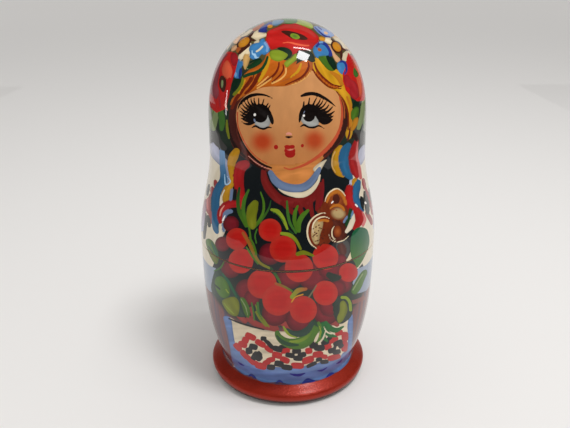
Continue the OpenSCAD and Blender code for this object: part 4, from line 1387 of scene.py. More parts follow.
# %% Round the back
# Each of these is painted on both sides: leaves with a width and two paints, then flowers with a size.
BACK_LEAVES = [
    ([(62, 136), (70, 131), (74, 124)], 7, "leaf", "sage"),
    ([(80, 139), (88, 132), (90, 125)], 7, "leaf_dark", "leaf"),
    ([(96, 142), (106, 137), (114, 134)], 6, "leaf", "leaf_light"),
    ([(92, 158), (104, 159), (118, 158)], 6, "leaf_dark", "leaf"),
    ([(150, 152), (160, 158), (172, 161)], 6, "leaf", "leaf_light"),
    ([(136, 143), (148, 139), (158, 138)], 6, "leaf_dark", "leaf"),
    ([(128, 160), (140, 163), (156, 165)], 5, "grass", "leaf_light"),
]
BACK_FLOWERS = [("cornflower", (104, 150), 8), ("daisy", (92, 161), 8), ("poppy", (128, 150), 11),
                ("cornflower", (150, 147), 6), ("daisy", (152, 160), 8)]
NAPE_FLOWERS = [("poppy", (180, 152), 11), ("cornflower", (180, 164.5), 6)]
BACK_HAIR = [
    (112, 141), (118, 128), (124, 116), (134, 108), (150, 104), (166, 102), (179.9, 101), (179.9, 150),
    (140, 150),
]
STRAND_ANGLES = np.linspace(116, 244, 23)
STRAND_LEAN = 0.12
STRAND_TOP, STRAND_MIDDLE, STRAND_FOOT = 142, 126, 104
STRAND_RISE, STRAND_SPREAD = 14, 64
STRAND_PAINTS = ("gold", "strand", "gold_low")
LONG_RIBBON = [2, 4, 4, 3.6, 1.6]
BACK_RIBBONS = [
    (3, "ribbon_gold", LONG_RIBBON, [(118, 140), (112, 124), (120, 108), (114, 92), (120, 78)]),
    (4, "blue", LONG_RIBBON, [(130, 138), (126, 120), (134, 102), (128, 86), (132, 70)]),
    (3, "ribbon_red", LONG_RIBBON, [(142, 137), (140, 118), (147, 100), (142, 82), (146, 66)]),
    (4, "ribbon_gold", [1.6, 3.6, 3.4, 1.4], [(156, 136), (154, 116), (160, 96), (156, 80)]),
]
MIDDLE_RIBBON = [(180, 136), (178, 116), (182, 96), (179, 76)]
HEM_ANGLES = (100, 120, 140, 160, 180, -160, -140, -120, -100)
HEM_LEAVES = [([(-9, 44), (-3, 50), (4, 53)], 4.4, "leaf", "leaf_light"),
              ([(9, 43), (4, 47), (-2, 48)], 3.6, "leaf_dark", "leaf")]
HEM_BERRIES = [((0, 47), 3.4, "berry"), ((6, 51), 2.8, "wine berry")]


def paint_back(canvas):
    """The wreath, the hair and the ribbons go on round the back, over a hem of leaves and berries."""
    for side in (-1, 1):
        for points, width, paint, light in BACK_LEAVES:
            leaf(canvas, np.array(points) * [side, 1], width, paint, light)
        for kind, (degrees, z), size in BACK_FLOWERS:
            flower(canvas, kind, (side * degrees, z), size)
    for kind, place, size in NAPE_FLOWERS:
        flower(canvas, kind, place, size)
    for side in (1, -1):
        canvas.zone(1, np.array(BACK_HAIR) * [side, 1], PAINT["hair"])
    for step, degrees in enumerate(STRAND_ANGLES):
        aside = degrees - 180
        lean = aside * STRAND_LEAN
        foot = STRAND_FOOT + STRAND_RISE * (aside / STRAND_SPREAD) ** 2
        strand = [(degrees, STRAND_TOP), (degrees - lean, STRAND_MIDDLE), (degrees - 2 * lean, foot)]
        band(canvas, 2, strand, [1.2, 2.2, 0.8], STRAND_PAINTS[step % len(STRAND_PAINTS)])
    for side in (-1, 1):
        for coat, paint, width, points in BACK_RIBBONS:
            band(canvas, coat, np.array(points) * [side, 1], width, paint)
    band(canvas, 3, MIDDLE_RIBBON, [1.6, 4, 3.6, 1.4], "blue_light blue")
    for degrees in HEM_ANGLES:
        for points, width, paint, light in HEM_LEAVES:
            leaf(canvas, np.array(points) + [degrees, 0], width, paint, light)
        for (shift, z), radius, paints in HEM_BERRIES:
            spot(canvas, 4, (degrees + shift, z), (radius, radius), 0, paints)


print("back:", 2 * len(BACK_FLOWERS) + len(NAPE_FLOWERS), "flowers,", len(STRAND_ANGLES), "strands of hair")

# %% [markdown]
# ## The seam and the ground
#
# Under all the marks lies the ground: a dark vest, a green kerchief and a striped skirt, each easing into
# the next. It could be a coat as well, but it has no edges to keep crisp, so one colour at each point is
# enough. The seam is a thin dark line over everything: the paint's worn edge, and painted shade of the gap.

# %% The seam and the ground
SEAM_ANGLES = (-64, -30, 0, 30, 62)
SEAM_WIDTHS = [0.5, 0.9, 1.2, 0.9, 0.5]
# heights at which the ground turns into the next one, and over how many millimetres
KERCHIEF_Z, KERCHIEF_BLEND = 118, 6
CROWN_Z, CROWN_BLEND = 148, 14
DUSK_Z, DUSK_BLEND = 58, 10
# the skirt begins lower in front than behind, between two angles
SKIRT_Z, SKIRT_RISE, SKIRT_BLEND = 44, 7, 4
SKIRT_ANGLE, SKIRT_SPAN = 35, 30
# the skirt's stripes of two sizes: height, degrees, seed and share
SKIRT_STRIPES = [(26, 3.4, 5, 0.4), (14, 1.5, 9, 0.3)]


def paint_seam(canvas):
    """A dark line where the two halves meet, darkest across the berries: worn paint and painted shade of the
    gap.
    """
    # painted shade: a dark band along the seam, where the gap between the halves lies in shadow
    band(canvas, 8, [(degrees, SEAM_Z) for degrees in SEAM_ANGLES], SEAM_WIDTHS, "soot")


def paint_ground(canvas):
    """Dark vest and kerchief, and a skirt of mauve and violet strokes under them."""
    z = canvas.points[:, 2]

    def turn_into(ground, paint, share):
        """The ground with a share of paint over it, point by point."""
        return ground * (1 - share[:, None]) + paint * share[:, None]

    ground = turn_into(PAINT["vest"], PAINT["moss"], ease((z - KERCHIEF_Z) / KERCHIEF_BLEND))
    ground = turn_into(ground, PAINT["thatch"], ease((z - CROWN_Z) / CROWN_BLEND))
    ground = turn_into(ground, PAINT["moss"], 1 - ease((z - DUSK_Z) / DUSK_BLEND))
    wave = 0.5
    for height, breadth, seed, share in SKIRT_STRIPES:
        wave = wave + share * hairs(z / height, canvas.degrees / breadth, seed)
    skirt = turn_into(PAINT["violet"], PAINT["mauve"], ease(wave))
    hem = SKIRT_Z + SKIRT_RISE * ease((np.abs(canvas.degrees) - SKIRT_ANGLE) / SKIRT_SPAN)
    canvas.ground = turn_into(ground, skirt, 1 - ease((z - hem) / SKIRT_BLEND + 0.5))


print("seam at", SEAM_Z, "mm, skirt from", SKIRT_Z, "mm down")


# %% [markdown]
# ## Profiles
#
# Each half is a row of profile strips that follow one another, as a turner's tool would: under the foot,
# up the skin, over the spigot and down into the pocket. Each strip is enamel, paint or bare wood. One
# long curve would do for the shape, but strips can have many points where the painting is and few inside.

# %% Turning a half on the lathe
# columns stand closest together at the front
FRONT_SHARE = 0.55
FOOT, PAINTED, BARE = 0, 1, 2
SKIN_SAMPLES = 6000
# radii at which the flat faces end and a fan closes them
FOOT_FAN_R = 2.0
FLOOR_FAN_R = 1.0
# shares of a top half's rows below the face and on it, and the heights between them
LOW_SHARE, FACE_SHARE = 0.34, 0.4
FACE_LOW_Z, FACE_HIGH_Z = NECK_Z - 3, 150
SOLID_LOW_SHARE = 0.38
# how close to the axis the hollow's crown and the painted crowns come
HOLLOW_END = 0.97
CROWN_GAP, SOLID_CROWN_GAP = 0.02, 0.05


def columns(count):
    """Angles of the mesh's columns, closest together at the painted front: a cubic in the column's share."""
    t = np.linspace(-1, 1, count, endpoint=False)
    return np.pi * (FRONT_SHARE * t + (1 - FRONT_SHARE) * t ** 3)


def arc(centre, radii, start, end, steps):
    """Points of an ellipse's arc between two angles in degrees."""
    turn = np.radians(np.linspace(start, end, steps))
    return np.array(centre) + np.array(radii) * np.stack([np.cos(turn), np.sin(turn)], -1)


def straight(a, b, steps):
    """Evenly spaced points from a to b."""
    t = np.linspace(0, 1, steps)[:, None]
    return np.array(a) * (1 - t) + np.array(b) * t


def skin_rows(z0, z1, steps):
    """Profile points on the skin, evenly spaced along its own curve."""
    share = np.sin(np.linspace(0, np.pi / 2, SKIN_SAMPLES))
    z = z0 + (z1 - z0) * share
    r = skin_r(z)
    run = np.concatenate([[0], np.cumsum(np.hypot(np.diff(r), np.diff(z)))])
    even = np.interp(np.linspace(0, run[-1], steps), run, z)
    return np.stack([skin_r(even), even], -1)


def foot_strip(steps):
    """The foot's profile: a flat underside, a swell out to the rim and the sweep up to the painted skin."""
    swell = arc((FOOT_R - FOOT_TUCK, RIM_Z), (FOOT_TUCK, RIM_Z), -90, 0, steps)
    return [straight((FOOT_FAN_R, 0), swell[0], 4), swell, skin_rows(RIM_Z, ENAMEL_Z, steps)]


def of_kind(kind, strips):
    """Strips marked with the finish they get."""
    return [(kind, strip) for strip in strips]


def bottom_strips(scale, fine):
    """Strips of a bottom half, from under the foot, up the skin, over the spigot and down into the pocket."""
    lip = SEAM_Z - SEAM_GAP / 2 / scale
    top, lead = SPIGOT_END, SPIGOT_LEAD
    skin = skin_rows(ENAMEL_Z, lip, fine)
    corner = arc((POCKET_R - FLOOR_ROUND, FLOOR_Z + FLOOR_ROUND), (FLOOR_ROUND, FLOOR_ROUND), 0, -90, 6)
    bare = [straight(skin[-1], (SPIGOT_R, lip), 3),
            straight((SPIGOT_R, lip), (SPIGOT_R, top - lead), 4),
            straight((SPIGOT_R, top - lead), (SPIGOT_R - lead, top), 2),
            straight((SPIGOT_R - lead, top), (BORE_R, top), 2),
            straight((BORE_R, top), (BORE_R, SEAM_Z), 3),
            straight((BORE_R, SEAM_Z), corner[0], 6),
            corner,
            straight(corner[-1], (FLOOR_FAN_R, FLOOR_Z), 7)]
    return of_kind(FOOT, foot_strip(max(6, fine // 14))) + of_kind(PAINTED, [skin]) + of_kind(BARE, bare)


def top_strips(scale, fine):
    """Strips of a top half, from the hollow's crown down to the socket and the lip, and up the skin."""
    lip = SEAM_Z + SEAM_GAP / 2 / scale
    socket_r, lead = SPIGOT_R + FIT_GAP / scale, SPIGOT_LEAD
    crown_z = FLOOR_Z + NEST_SHARE * HEAD_Z
    rise = np.sin(np.linspace(HOLLOW_END, 0, 14) * np.pi / 2)
    dome_r = (NEST_SHARE * HEAD_R + NEST_GAP) * np.sqrt(1 - rise ** HEAD_FULLNESS)
    crown = np.stack([dome_r, crown_z + rise * (NEST_SHARE * (DOLL_H - HEAD_Z) + HEAD_GAP)], -1)
    wall_z = np.linspace(crown_z, SOCKET_END, 10)
    wall = np.stack([NEST_SHARE * skin_r((wall_z - FLOOR_Z) / NEST_SHARE) + NEST_GAP, wall_z], -1)
    low = skin_rows(lip, FACE_LOW_Z, int(LOW_SHARE * fine))
    face = skin_rows(FACE_LOW_Z, FACE_HIGH_Z, int(FACE_SHARE * fine))
    dome = skin_rows(FACE_HIGH_Z, DOLL_H - CROWN_GAP, fine - len(low) - len(face))
    bare = [crown,
            wall,
            straight(wall[-1], (socket_r, SOCKET_END), 2),
            straight((socket_r, SOCKET_END), (socket_r, lip + lead), 4),
            straight((socket_r, lip + lead), (socket_r + lead, lip), 2),
            straight((socket_r + lead, lip), low[0], 3)]
    return of_kind(BARE, bare) + of_kind(PAINTED, [low, face, dome])


def solid_strips(scale, fine):
    """Strips of the smallest doll, from under the foot to the crown."""
    low = skin_rows(ENAMEL_Z, BELLY_Z, int(SOLID_LOW_SHARE * fine))
    high = skin_rows(BELLY_Z, DOLL_H - SOLID_CROWN_GAP, fine - len(low))
    return of_kind(FOOT, foot_strip(8)) + of_kind(PAINTED, [low, high])


print("profile of the largest bottom half:", len(bottom_strips(1.0, 100)), "strips")


# %% [markdown]
# ## From a profile to a mesh
#
# The profile is spun into rings, and neighbouring rings are joined by quads. The Spin tool would space
# the columns evenly. Here they stand closer together at the painted front, and whole arrays are handed to
# Blender at once, which is far quicker than one vertex at a time. The chart for baking simply unrolls the
# doll.

# %% From profile to mesh
# the chart keeps clear of its square's edges, and gives hidden wood less room than paint
CHART_SIDE = 0.004
CHART_END = 0.01
BARE_ROOM = 0.35
SHARP_ANGLE = np.radians(32)


def unrolled(profile, kind, turns):
    """The chart for baking, corner by corner: u runs round the doll, and v along its profile."""
    rows, cols = len(profile), len(turns)
    steps = np.hypot(*np.diff(profile, axis=0).T) * np.where(kind == PAINTED, 1, BARE_ROOM)
    run = np.concatenate([[0], np.cumsum(steps)])
    v = CHART_END + (1 - 2 * CHART_END) * run / run[-1]
    u = CHART_SIDE + (1 - 2 * CHART_SIDE) * (np.append(turns, np.pi) + np.pi) / (2 * np.pi)
    left, right, middle = u[:-1], u[1:], (u[:-1] + u[1:]) / 2
    quad_u = np.broadcast_to(np.stack([left, right, right, left], -1), (rows - 1, cols, 4))
    quad_v = np.broadcast_to(np.stack([v[:-1], v[:-1], v[1:], v[1:]], -1)[:, None, :], (rows - 1, cols, 4))
    low_u = np.stack([middle, right, left], -1)
    low_v = np.broadcast_to([CHART_SIDE, v[0], v[0]], (cols, 3))
    high_u = np.stack([middle, left, right], -1)
    high_v = np.broadcast_to([1 - CHART_SIDE, v[-1], v[-1]], (cols, 3))
    charts = ((quad_u, quad_v), (low_u, low_v), (high_u, high_v))
    return np.concatenate([np.stack(pair, -1).reshape(-1, 2) for pair in charts])


def turn_mesh(name, strips, turns, materials):
    """A closed mesh turned from strips of profile: rings, quads between them and a fan at each end.

    A point at angle a and radius r lies at x = r sin a, y = -r cos a, so that angle zero is the front.
    """
    profile = np.concatenate([strips[0][1][:1]] + [strip[1:] for _, strip in strips])
    kind = np.concatenate([np.full(len(strip) - 1, paint) for paint, strip in strips])
    rows, cols = len(profile), len(turns)
    r, z = profile[:, :1], profile[:, 1:]
    ring = np.stack(np.broadcast_arrays(r * np.sin(turns), -r * np.cos(turns), z + 0 * turns), -1)
    ends = np.array([[0, 0, profile[0, 1]], [0, 0, profile[-1, 1]]])
    points = np.concatenate([ring.reshape(-1, 3), ends])
    here = np.arange(rows - 1)[:, None] * cols + np.arange(cols)
    right = np.arange(rows - 1)[:, None] * cols + (np.arange(cols) + 1) % cols
    quads = np.stack([here, right, right + cols, here + cols], -1).reshape(-1, 4)
    first, last = np.arange(cols), (rows - 1) * cols + np.arange(cols)
    fan_low = np.stack([np.full(cols, rows * cols), np.roll(first, -1), first], -1)
    fan_high = np.stack([np.full(cols, rows * cols + 1), last, np.roll(last, -1)], -1)
    loops = np.concatenate([quads.ravel(), fan_low.ravel(), fan_high.ravel()])
    sizes = np.concatenate([np.full(len(quads), 4), np.full(2 * cols, 3)])
    mesh = bpy.data.meshes.new(name)
    mesh.vertices.add(len(points))
    mesh.loops.add(len(loops))
    mesh.polygons.add(len(sizes))
    mesh.vertices.foreach_set("co", (points * MM).astype(np.float32).ravel())
    mesh.loops.foreach_set("vertex_index", loops.astype(np.int32))
    mesh.polygons.foreach_set("loop_start", np.concatenate([[0], np.cumsum(sizes)[:-1]]).astype(np.int32))
    face_kind = np.concatenate([np.repeat(kind, cols), np.full(cols, kind[0]), np.full(cols, kind[-1])])
    mesh.polygons.foreach_set("material_index", face_kind.astype(np.int32))
    for material in materials:
        mesh.materials.append(material)
    chart = unrolled(profile, kind, turns)
    mesh.uv_layers.new(name="OFBake").uv.foreach_set("vector", chart.astype(np.float32).ravel())
    mesh.update(calc_edges=True)
    mesh.polygons.foreach_set("use_smooth", np.ones(len(sizes), bool))
    mesh.set_sharp_from_angle(angle=SHARP_ANGLE)
    on_paint = np.flatnonzero((np.append(kind, kind[-1]) == PAINTED) | (np.append(kind[0],
        kind) == PAINTED))
    painted = (on_paint[:, None] * cols + np.arange(cols)).ravel()
    if kind[-1] == PAINTED:
        painted = np.append(painted, len(points) - 1)
    return mesh, points, painted


def store_paint(mesh, canvas, painted):
    """Keep each coat's depth and tint on the mesh, for the lacquer material to read."""
    count = len(mesh.vertices)
    full = np.zeros((count, 4), np.float32)
    full[:, 3] = 1
    full[painted, :3] = canvas.ground
    mesh.attributes.new("ground", "FLOAT_COLOR", "POINT").data.foreach_set("color", full.ravel())
    for coat in range(COATS):
        depth = np.full(count, -MARGIN, np.float32)
        depth[painted] = canvas.depth[coat]
        mesh.attributes.new(f"depth_{coat}", "FLOAT", "POINT").data.foreach_set("value", depth)
        full[painted, :3] = canvas.tint[coat]
        mesh.attributes.new(f"tint_{coat}", "FLOAT_COLOR", "POINT").data.foreach_set("color", full.ravel())


print("edges sharper than", round(np.degrees(SHARP_ANGLE)), "degrees stay crisp")

# %% [markdown]
# ## Materials
#
# Three finishes are needed: lacquered paint, bare limewood and a metallic enamel on the foot. All three
# are made of nodes, with no image, so they stay sharp from close by. First come a few helpers that make
# and link the nodes.

# %% Shader helpers
def node(tree, kind, **values):
    """A shader node with some of its settings or unlinked inputs filled in."""
    made = tree.nodes.new(kind)
    for key, value in values.items():
        if key in made.inputs.keys():
            made.inputs[key].default_value = value
        else:
            setattr(made, key, value)
    return made


def feed(tree, socket, value):
    """Link another node's output to a socket, or set a number or a colour on it."""
    if isinstance(value, bpy.types.NodeSocket):
        tree.links.new(value, socket)
    elif np.ndim(value) == 0:
        socket.default_value = value
    else:
        socket.default_value = (*value, 1)


def blank(name, **values):
    """A new material with one surface shader, and some of the shader's inputs set."""
    material = bpy.data.materials.new(name)
    material.use_nodes = True
    tree = material.node_tree
    tree.nodes.clear()
    surface = tree.nodes.new("ShaderNodeBsdfPrincipled")
    output = tree.nodes.new("ShaderNodeOutputMaterial")
    tree.links.new(surface.outputs[0], output.inputs[0])
    for key, value in values.items():
        feed(tree, surface.inputs[key.replace("_", " ")], value)
    return material, tree, surface


def grain(tree, place, scale, detail=3.0, stretch=(1, 1, 1)):
    """Noise between 0 and 1 at so many waves to the metre, drawn out along the axes."""
    mapping = node(tree, "ShaderNodeMapping", Scale=stretch)
    tree.links.new(place, mapping.inputs["Vector"])
    noise = node(tree, "ShaderNodeTexNoise", Scale=scale, Detail=detail)
    tree.links.new(mapping.outputs[0], noise.inputs["Vector"])
    return noise.outputs[0]


def reckon(tree, operation, a, b):
    """One sum on two values, each a number or another node's output."""
    made = node(tree, "ShaderNodeMath", operation=operation)
    feed(tree, made.inputs[0], a)
    feed(tree, made.inputs[1], b)
    return made.outputs[0]


def both(tree, a, share_a, b, share_b):
    """Two noises added in shares."""
    return reckon(tree, "ADD", reckon(tree, "MULTIPLY", a, share_a), reckon(tree, "MULTIPLY", b, share_b))


def blend(tree, factor, a, b, way="MIX"):
    """Two colours mixed by a factor, each a colour or another node's output."""
    made = node(tree, "ShaderNodeMix", data_type="RGBA", blend_type=way)
    feed(tree, made.inputs["Factor"], factor)
    feed(tree, made.inputs["A"], a)
    feed(tree, made.inputs["B"], b)
    return made.outputs["Result"]


def ranged(tree, value, low, high, start=0.0, end=1.0, curve="LINEAR"):
    """A value's way from start to end turned into one from low to high."""
    made = node(tree, "ShaderNodeMapRange", interpolation_type=curve)
    for key, number in (("From Min", start), ("From Max", end), ("To Min", low), ("To Max", high)):
        made.inputs[key].default_value = number
    tree.links.new(value, made.inputs["Value"])
    return made.outputs[0]


def emboss(tree, surface, height, strength, distance):
    """Small relief on the surface from a height."""
    bump = node(tree, "ShaderNodeBump", Strength=strength, Distance=distance)
    tree.links.new(height, bump.inputs["Height"])
    tree.links.new(bump.outputs[0], surface.inputs["Normal"])


def attribute(tree, name, output):
    """A value kept on the mesh."""
    return node(tree, "ShaderNodeAttribute", attribute_name=name).outputs[output]


print("helpers for noise, sums, mixes and relief are ready")

# %% [markdown]
# ## Lacquered paint
#
# The outside is painted and then lacquered until it mirrors the room. Colours on the mesh's points alone
# would blur each edge over a whole face. So the shader lays the nine coats over the ground, each where
# its depth is above zero, which can fall anywhere on a face. A little noise makes the edges wobble as a
# hand does. A clear coat on top gives the gloss.

# %% Lacquered paint
# a mark's edge is soft over so many millimetres, and wobbles by so many
EDGE_SOFT = 0.05
EDGE_WOBBLE = 0.16
WOBBLE_WAVES = 900
BRUSH_WAVES = 260
BRUSH_STRETCH = (1, 1, 0.45)
BRUSH_SHADE = 0.16
PAINT_RELIEF = 0.12
PAINT_THICK = 0.00012


def lacquered_paint():
    """Coats of paint laid over one another by depth, under a clear gloss lacquer."""
    material, tree, surface = blank("lacquered_paint", Roughness=0.42, Coat_Weight=1.0,
        Coat_Roughness=0.035,
                                    Coat_IOR=1.42, Specular_IOR_Level=0.1)
    place = node(tree, "ShaderNodeTexCoord").outputs["Object"]
    noise = reckon(tree, "SUBTRACT", grain(tree, place, WOBBLE_WAVES, 2), 0.5)
    wobble = reckon(tree, "MULTIPLY", noise, EDGE_WOBBLE)
    tint = attribute(tree, "ground", "Color")
    height = None
    for coat in range(COATS):
        depth = reckon(tree, "ADD", attribute(tree, f"depth_{coat}", "Fac"), wobble)
        cover = ranged(tree, depth, 0.0, 1.0, -EDGE_SOFT, EDGE_SOFT, "SMOOTHSTEP")
        tint = blend(tree, cover, tint, attribute(tree, f"tint_{coat}", "Color"))
        height = cover if height is None else reckon(tree, "ADD", height, cover)
    # brush marks: paler and darker streaks in the paint
    streak = grain(tree, place, BRUSH_WAVES, 4, BRUSH_STRETCH)
    shade = ranged(tree, streak, 1 - BRUSH_SHADE, 1 + BRUSH_SHADE)
    feed(tree, surface.inputs["Base Color"], blend(tree, 1.0, tint, shade, "MULTIPLY"))
    # the thickness of the paint shows a little through the lacquer
    emboss(tree, surface, height, PAINT_RELIEF, PAINT_THICK)
    return material


LACQUER = lacquered_paint()
print(LACQUER.name, "with", len(LACQUER.node_tree.nodes), "nodes")

# %% [markdown]
# ## Bare wood
#
# The inside is left as it came off the lathe: pale limewood with fine tool rings. Noise drawn out along
# the axis is the grain, and noise drawn out across it is the rings.

# %% Bare wood
LIMEWOOD_PALE = colour(226, 190, 142)
LIMEWOOD_DEEP = colour(202, 158, 106)
GRAIN_WAVES = 55
GRAIN_STRETCH = (1, 1, 0.12)
TOOL_WAVES = 700
TOOL_STRETCH = (0.02, 0.02, 1)
TOOL_RELIEF = 0.25
TOOL_DEPTH = 0.0002


def bare_wood():
    """Pale turned limewood: fine rings left by the tool, and soft grain."""
    material, tree, surface = blank("bare_limewood", Roughness=0.62)
    place = node(tree, "ShaderNodeTexCoord").outputs["Object"]
    streak = grain(tree, place, GRAIN_WAVES, 5, GRAIN_STRETCH)
    rings = grain(tree, place, TOOL_WAVES, 2, TOOL_STRETCH)
    tint = blend(tree, both(tree, streak, 0.7, rings, 0.3), LIMEWOOD_PALE, LIMEWOOD_DEEP)
    feed(tree, surface.inputs["Base Color"], tint)
    emboss(tree, surface, rings, TOOL_RELIEF, TOOL_DEPTH)
    return material


WOOD = bare_wood()
print(WOOD.name, "with", len(WOOD.node_tree.nodes), "nodes")

# %% [markdown]
# ## Foot enamel
#
# The foot is brushed with a metallic red enamel, with flecks and slightly cloudy gloss. A full metal
# would lose its red where it mirrors the dark room, so it is metallic only in part. Where the rim turns
# under, painted shade darkens it by the way its surface faces, in place of the shadow under the rim.

# %% Foot enamel
ENAMEL_DEEP = colour(120, 22, 12)
ENAMEL_BRIGHT = colour(190, 53, 28)
FLECK_WAVES = 1500
CLOUD_WAVES = 70
CLOUD_STRETCH = (1, 1, 3)
FLECK_RELIEF = 0.8
FLECK_DEPTH = 0.0002
GLOSSIEST, DULLEST = 0.28, 0.48
# the normal's height tells how far the rim has turned under, where painted shade darkens it
UNDER_DARK = -0.5
UNDER_LIGHT = -0.2
UNDER_SHADE = 0.16


def foot_enamel():
    """Metallic red enamel, brushed round the foot, with painted shade where the rim turns under."""
    material, tree, surface = blank("foot_enamel", Metallic=0.32, Specular_IOR_Level=0.25, Coat_Weight=0.15,
                                    Coat_Roughness=0.2)
    place = node(tree, "ShaderNodeTexCoord").outputs["Object"]
    flecks = grain(tree, place, FLECK_WAVES, 2)
    cloud = grain(tree, place, CLOUD_WAVES, 4, CLOUD_STRETCH)
    tint = blend(tree, both(tree, flecks, 0.35, cloud, 0.65), ENAMEL_DEEP, ENAMEL_BRIGHT)
    # painted shade: the enamel darkens as its surface turns down towards the floor
    facing = node(tree, "ShaderNodeSeparateXYZ")
    tree.links.new(node(tree, "ShaderNodeNewGeometry").outputs["Normal"], facing.inputs[0])
    under = ranged(tree, facing.outputs["Z"], UNDER_SHADE, 1.0, UNDER_DARK, UNDER_LIGHT, "SMOOTHSTEP")
    feed(tree, surface.inputs["Base Color"], blend(tree, 1.0, tint, under, "MULTIPLY"))
    feed(tree, surface.inputs["Roughness"], ranged(tree, cloud, GLOSSIEST, DULLEST))
    emboss(tree, surface, flecks, FLECK_RELIEF, FLECK_DEPTH)
    return material


ENAMEL = foot_enamel()
MATERIALS = [ENAMEL, LACQUER, WOOD]
print(ENAMEL.name, "with", len(ENAMEL.node_tree.nodes), "nodes")

# %% [markdown]
# ## Seven dolls
#
# The smaller dolls could be scaled copies of the largest one. But the play in their joints doesn't shrink
# with them, they wear other vests, and they need fewer points. So every piece is turned, painted, scaled
# and set where its body stands.

# %% Seven dolls
VESTS = [(18, 24, 27), (20, 30, 62), (20, 52, 40), (78, 20, 26), (24, 28, 40), (58, 24, 60), (20, 50, 48)]
# columns of each hollow doll's mesh, and its halves' painted rows as shares of them
COUNTS = [384, 288, 224, 176, 136, 108]
BOTTOM_SHARE, TOP_SHARE = 0.41, 0.58
SOLID_COUNT, SOLID_ROWS = 96, 90
SOLID_NUMBER = len(COUNTS) + 1


def make_piece(number, half, strips_of, count, fine):
    """Turn, paint and place one piece, on the body and in the place of its node."""
    name = f"doll_{number}_{half}"
    scale = NEST_SHARE ** (number - 1)
    mesh, points, painted = turn_mesh(name + "_look", strips_of(scale, fine), columns(count), MATERIALS)
    canvas = Canvas(points[painted])
    PAINT["vest"] = colour(*VESTS[number - 1])
    paint_ground(canvas)
    paint_sleeves(canvas)
    paint_back(canvas)
    paint_front(canvas)
    paint_seam(canvas)
    store_paint(mesh, canvas, painted)
    place = points * scale * MM
    place[:, 2] += STAND[number - 1]
    mesh.vertices.foreach_set("co", place.astype(np.float32).ravel())
    mesh.update()
    piece = bpy.data.objects.new(name + "_look", mesh)
    bpy.context.collection.objects.link(piece)
    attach(piece, name)
    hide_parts(name)
    print(name, len(mesh.polygons), "faces,", canvas.marks, "marks")
    return piece


STAND = [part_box(f"doll_{k}_bottom")[0][2] for k in range(1, 7)] + [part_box("doll_7_solid")[0][2]]
for number, count in enumerate(COUNTS, start=1):
    make_piece(number, "bottom", bottom_strips, count, int(BOTTOM_SHARE * count))
    make_piece(number, "top", top_strips, count, int(TOP_SHARE * count))
make_piece(SOLID_NUMBER, "solid", solid_strips, SOLID_COUNT, SOLID_ROWS)


# %% [markdown]
# ## The view
#
# The camera goes where the photograph was taken from, with the same tilt and the same width of view. It
# is close and high, which makes the head look large.

# %% Camera
SENSOR_MM = 36
camera = bpy.data.cameras.new("camera")
camera.sensor_width = SENSOR_MM
camera.lens = FOCAL_PX / (2 * MIDDLE[0]) * SENSOR_MM
viewer = bpy.data.objects.new("camera", camera)
viewer.location = EYE * MM
viewer.rotation_euler = Matrix((RIGHT, ABOVE, -AHEAD)).transposed().to_euler()
bpy.context.collection.objects.link(viewer)
bpy.context.scene.camera = viewer
bpy.context.scene.view_settings.view_transform = "Standard"
print("camera lens", round(camera.lens, 1), "mm")

# %% [markdown]
# ## The floor
#
# The doll stands on a plain pale sheet. A curved backdrop could hide the horizon, but this camera looks
# down and sees none, so one wide square is enough.

# %% The floor
FLOOR_HALF = 6.0


def sheet(name, points, faces, look):
    """A stage object of plain faces, with one look."""
    mesh = bpy.data.meshes.new(name)
    mesh.from_pydata(points, [], faces)
    mesh.materials.append(look)
    made = bpy.data.objects.new(name, mesh)
    bpy.context.collection.objects.link(made)
    return made


corners = [(-FLOOR_HALF, -FLOOR_HALF, 0), (FLOOR_HALF, -FLOOR_HALF, 0), (FLOOR_HALF, FLOOR_HALF, 0),
           (-FLOOR_HALF, FLOOR_HALF, 0)]
paper = blank("floor_paper", Base_Color=colour(240, 238, 236), Roughness=0.6)[0]
floor = sheet("floor", corners, [(0, 1, 2, 3)], paper)
print("floor", 2 * FLOOR_HALF, "m wide")

# %% [markdown]
# ## The dark room
#
# Lacquer is a mirror. In the photograph it mirrors a sheet of white paper that ends about 0.25 m before
# the doll, and a dark room beyond. A picture of a room on the world would change the light as well. These
# dark walls are seen by reflections only, so the picture and the light stay as they are.

# %% The dark room in the reflections
PAPER_FRONT = -0.26
PAPER_LEFT = -0.45
PAPER_RIGHT = 0.4
ROOM = 1.25
ROOM_H = 1.6
ROOM_BACK = 0.8
CEILING_BACK = 2.0
LIFT = 0.001


def upright(x, y):
    """A wall's two corners over one place, on the floor and at the ceiling."""
    return [(x, y, LIFT), (x, y, ROOM_H)]


def flat(x0, y0, x1, y1, z):
    """The corners of a level rectangle."""
    return [(x0, y0, z), (x1, y0, z), (x1, y1, z), (x0, y1, z)]


front_left, front_right = upright(-ROOM, -ROOM), upright(ROOM, -ROOM)
back_left, back_right = upright(-ROOM, CEILING_BACK), upright(ROOM, CEILING_BACK)
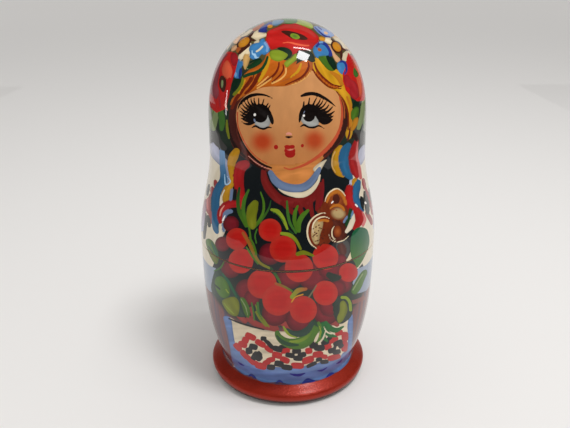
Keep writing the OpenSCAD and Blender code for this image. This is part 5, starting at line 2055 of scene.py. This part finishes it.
# the ground before the paper and beside it, the ceiling, and walls in front and at both sides
walls = [flat(-ROOM, -ROOM, ROOM, PAPER_FRONT, LIFT),
         flat(-ROOM, PAPER_FRONT, PAPER_LEFT, ROOM_BACK, LIFT),
         flat(PAPER_RIGHT, PAPER_FRONT, ROOM, ROOM_BACK, LIFT),
         flat(-ROOM, -ROOM, ROOM, CEILING_BACK, ROOM_H),
         front_left + front_right[::-1],
         front_right + back_right[::-1],
         front_left + back_left[::-1]]
dusk = blank("room_dusk", Base_Color=colour(34, 32, 30), Roughness=1.0)[0]
room_faces = np.arange(4 * len(walls)).reshape(-1, 4).tolist()
room = sheet("dark_room", [corner for wall in walls for corner in wall], room_faces, dusk)
room.visible_camera = False
room.visible_diffuse = False
room.visible_shadow = False
room.visible_transmission = False
print("dark room with", len(walls), "sides")

# %% [markdown]
# ## The light
#
# Soft light comes from all round. A window shows as a small white patch on the wreath and a strip at the
# left. A lamp could be moved about until its glint sits right, but that takes many tries. `lamp` works
# out where it has to stand so that its mirror image falls on a given pixel.

# %% The light
SKY_TINT = (1.0, 0.99, 0.975)
SKY_STRENGTH = 0.62
world = bpy.data.worlds.new("studio")
bpy.context.scene.world = world
world.use_nodes = True
sky = world.node_tree.nodes["Background"]
sky.inputs["Color"].default_value = (*SKY_TINT, 1)
sky.inputs["Strength"].default_value = SKY_STRENGTH


def lamp(name, pixel, distance, size, power, roll=0.0):
    """A lamp whose mirror image in the lacquer shows at a pixel, turned there by roll degrees.

    It stands along the camera ray turned back by the skin, and its sides are the picture's own
    directions turned back too.
    """
    here = seen_at([pixel])[0]
    normal = skin_normal(here)
    normal /= np.linalg.norm(normal)
    back = (EYE - here) / np.linalg.norm(EYE - here)
    away = 2 * (normal @ back) * normal - back
    light = bpy.data.lights.new(name, "AREA")
    light.shape = "RECTANGLE"
    light.size, light.size_y = size
    light.energy = power
    lit = bpy.data.objects.new(name, light)
    lit.location = here * MM + away * distance
    spin = np.radians(roll)
    side = RIGHT * np.cos(spin) + ABOVE * np.sin(spin)
    side = side - 2 * (side @ normal) * normal
    side -= (side @ away) * away
    side /= np.linalg.norm(side)
    lit.rotation_euler = Matrix((side, np.cross(away, side), away)).transposed().to_euler()
    bpy.context.collection.objects.link(lit)
    print(name, "stands at", np.round(lit.location, 2))
    return lit


# a lamp is its pixel, its distance and size in metres, its power in watts and its roll in degrees
lamp("window", (303, 56), 1.0, (0.24, 0.24), 4.8, -24)
lamp("window_top", (302, 48.4), 1.0, (0.36, 0.035), 1.0, -6)
lamp("side_strip", (226, 108), 1.2, (0.05, 0.5), 0.7)
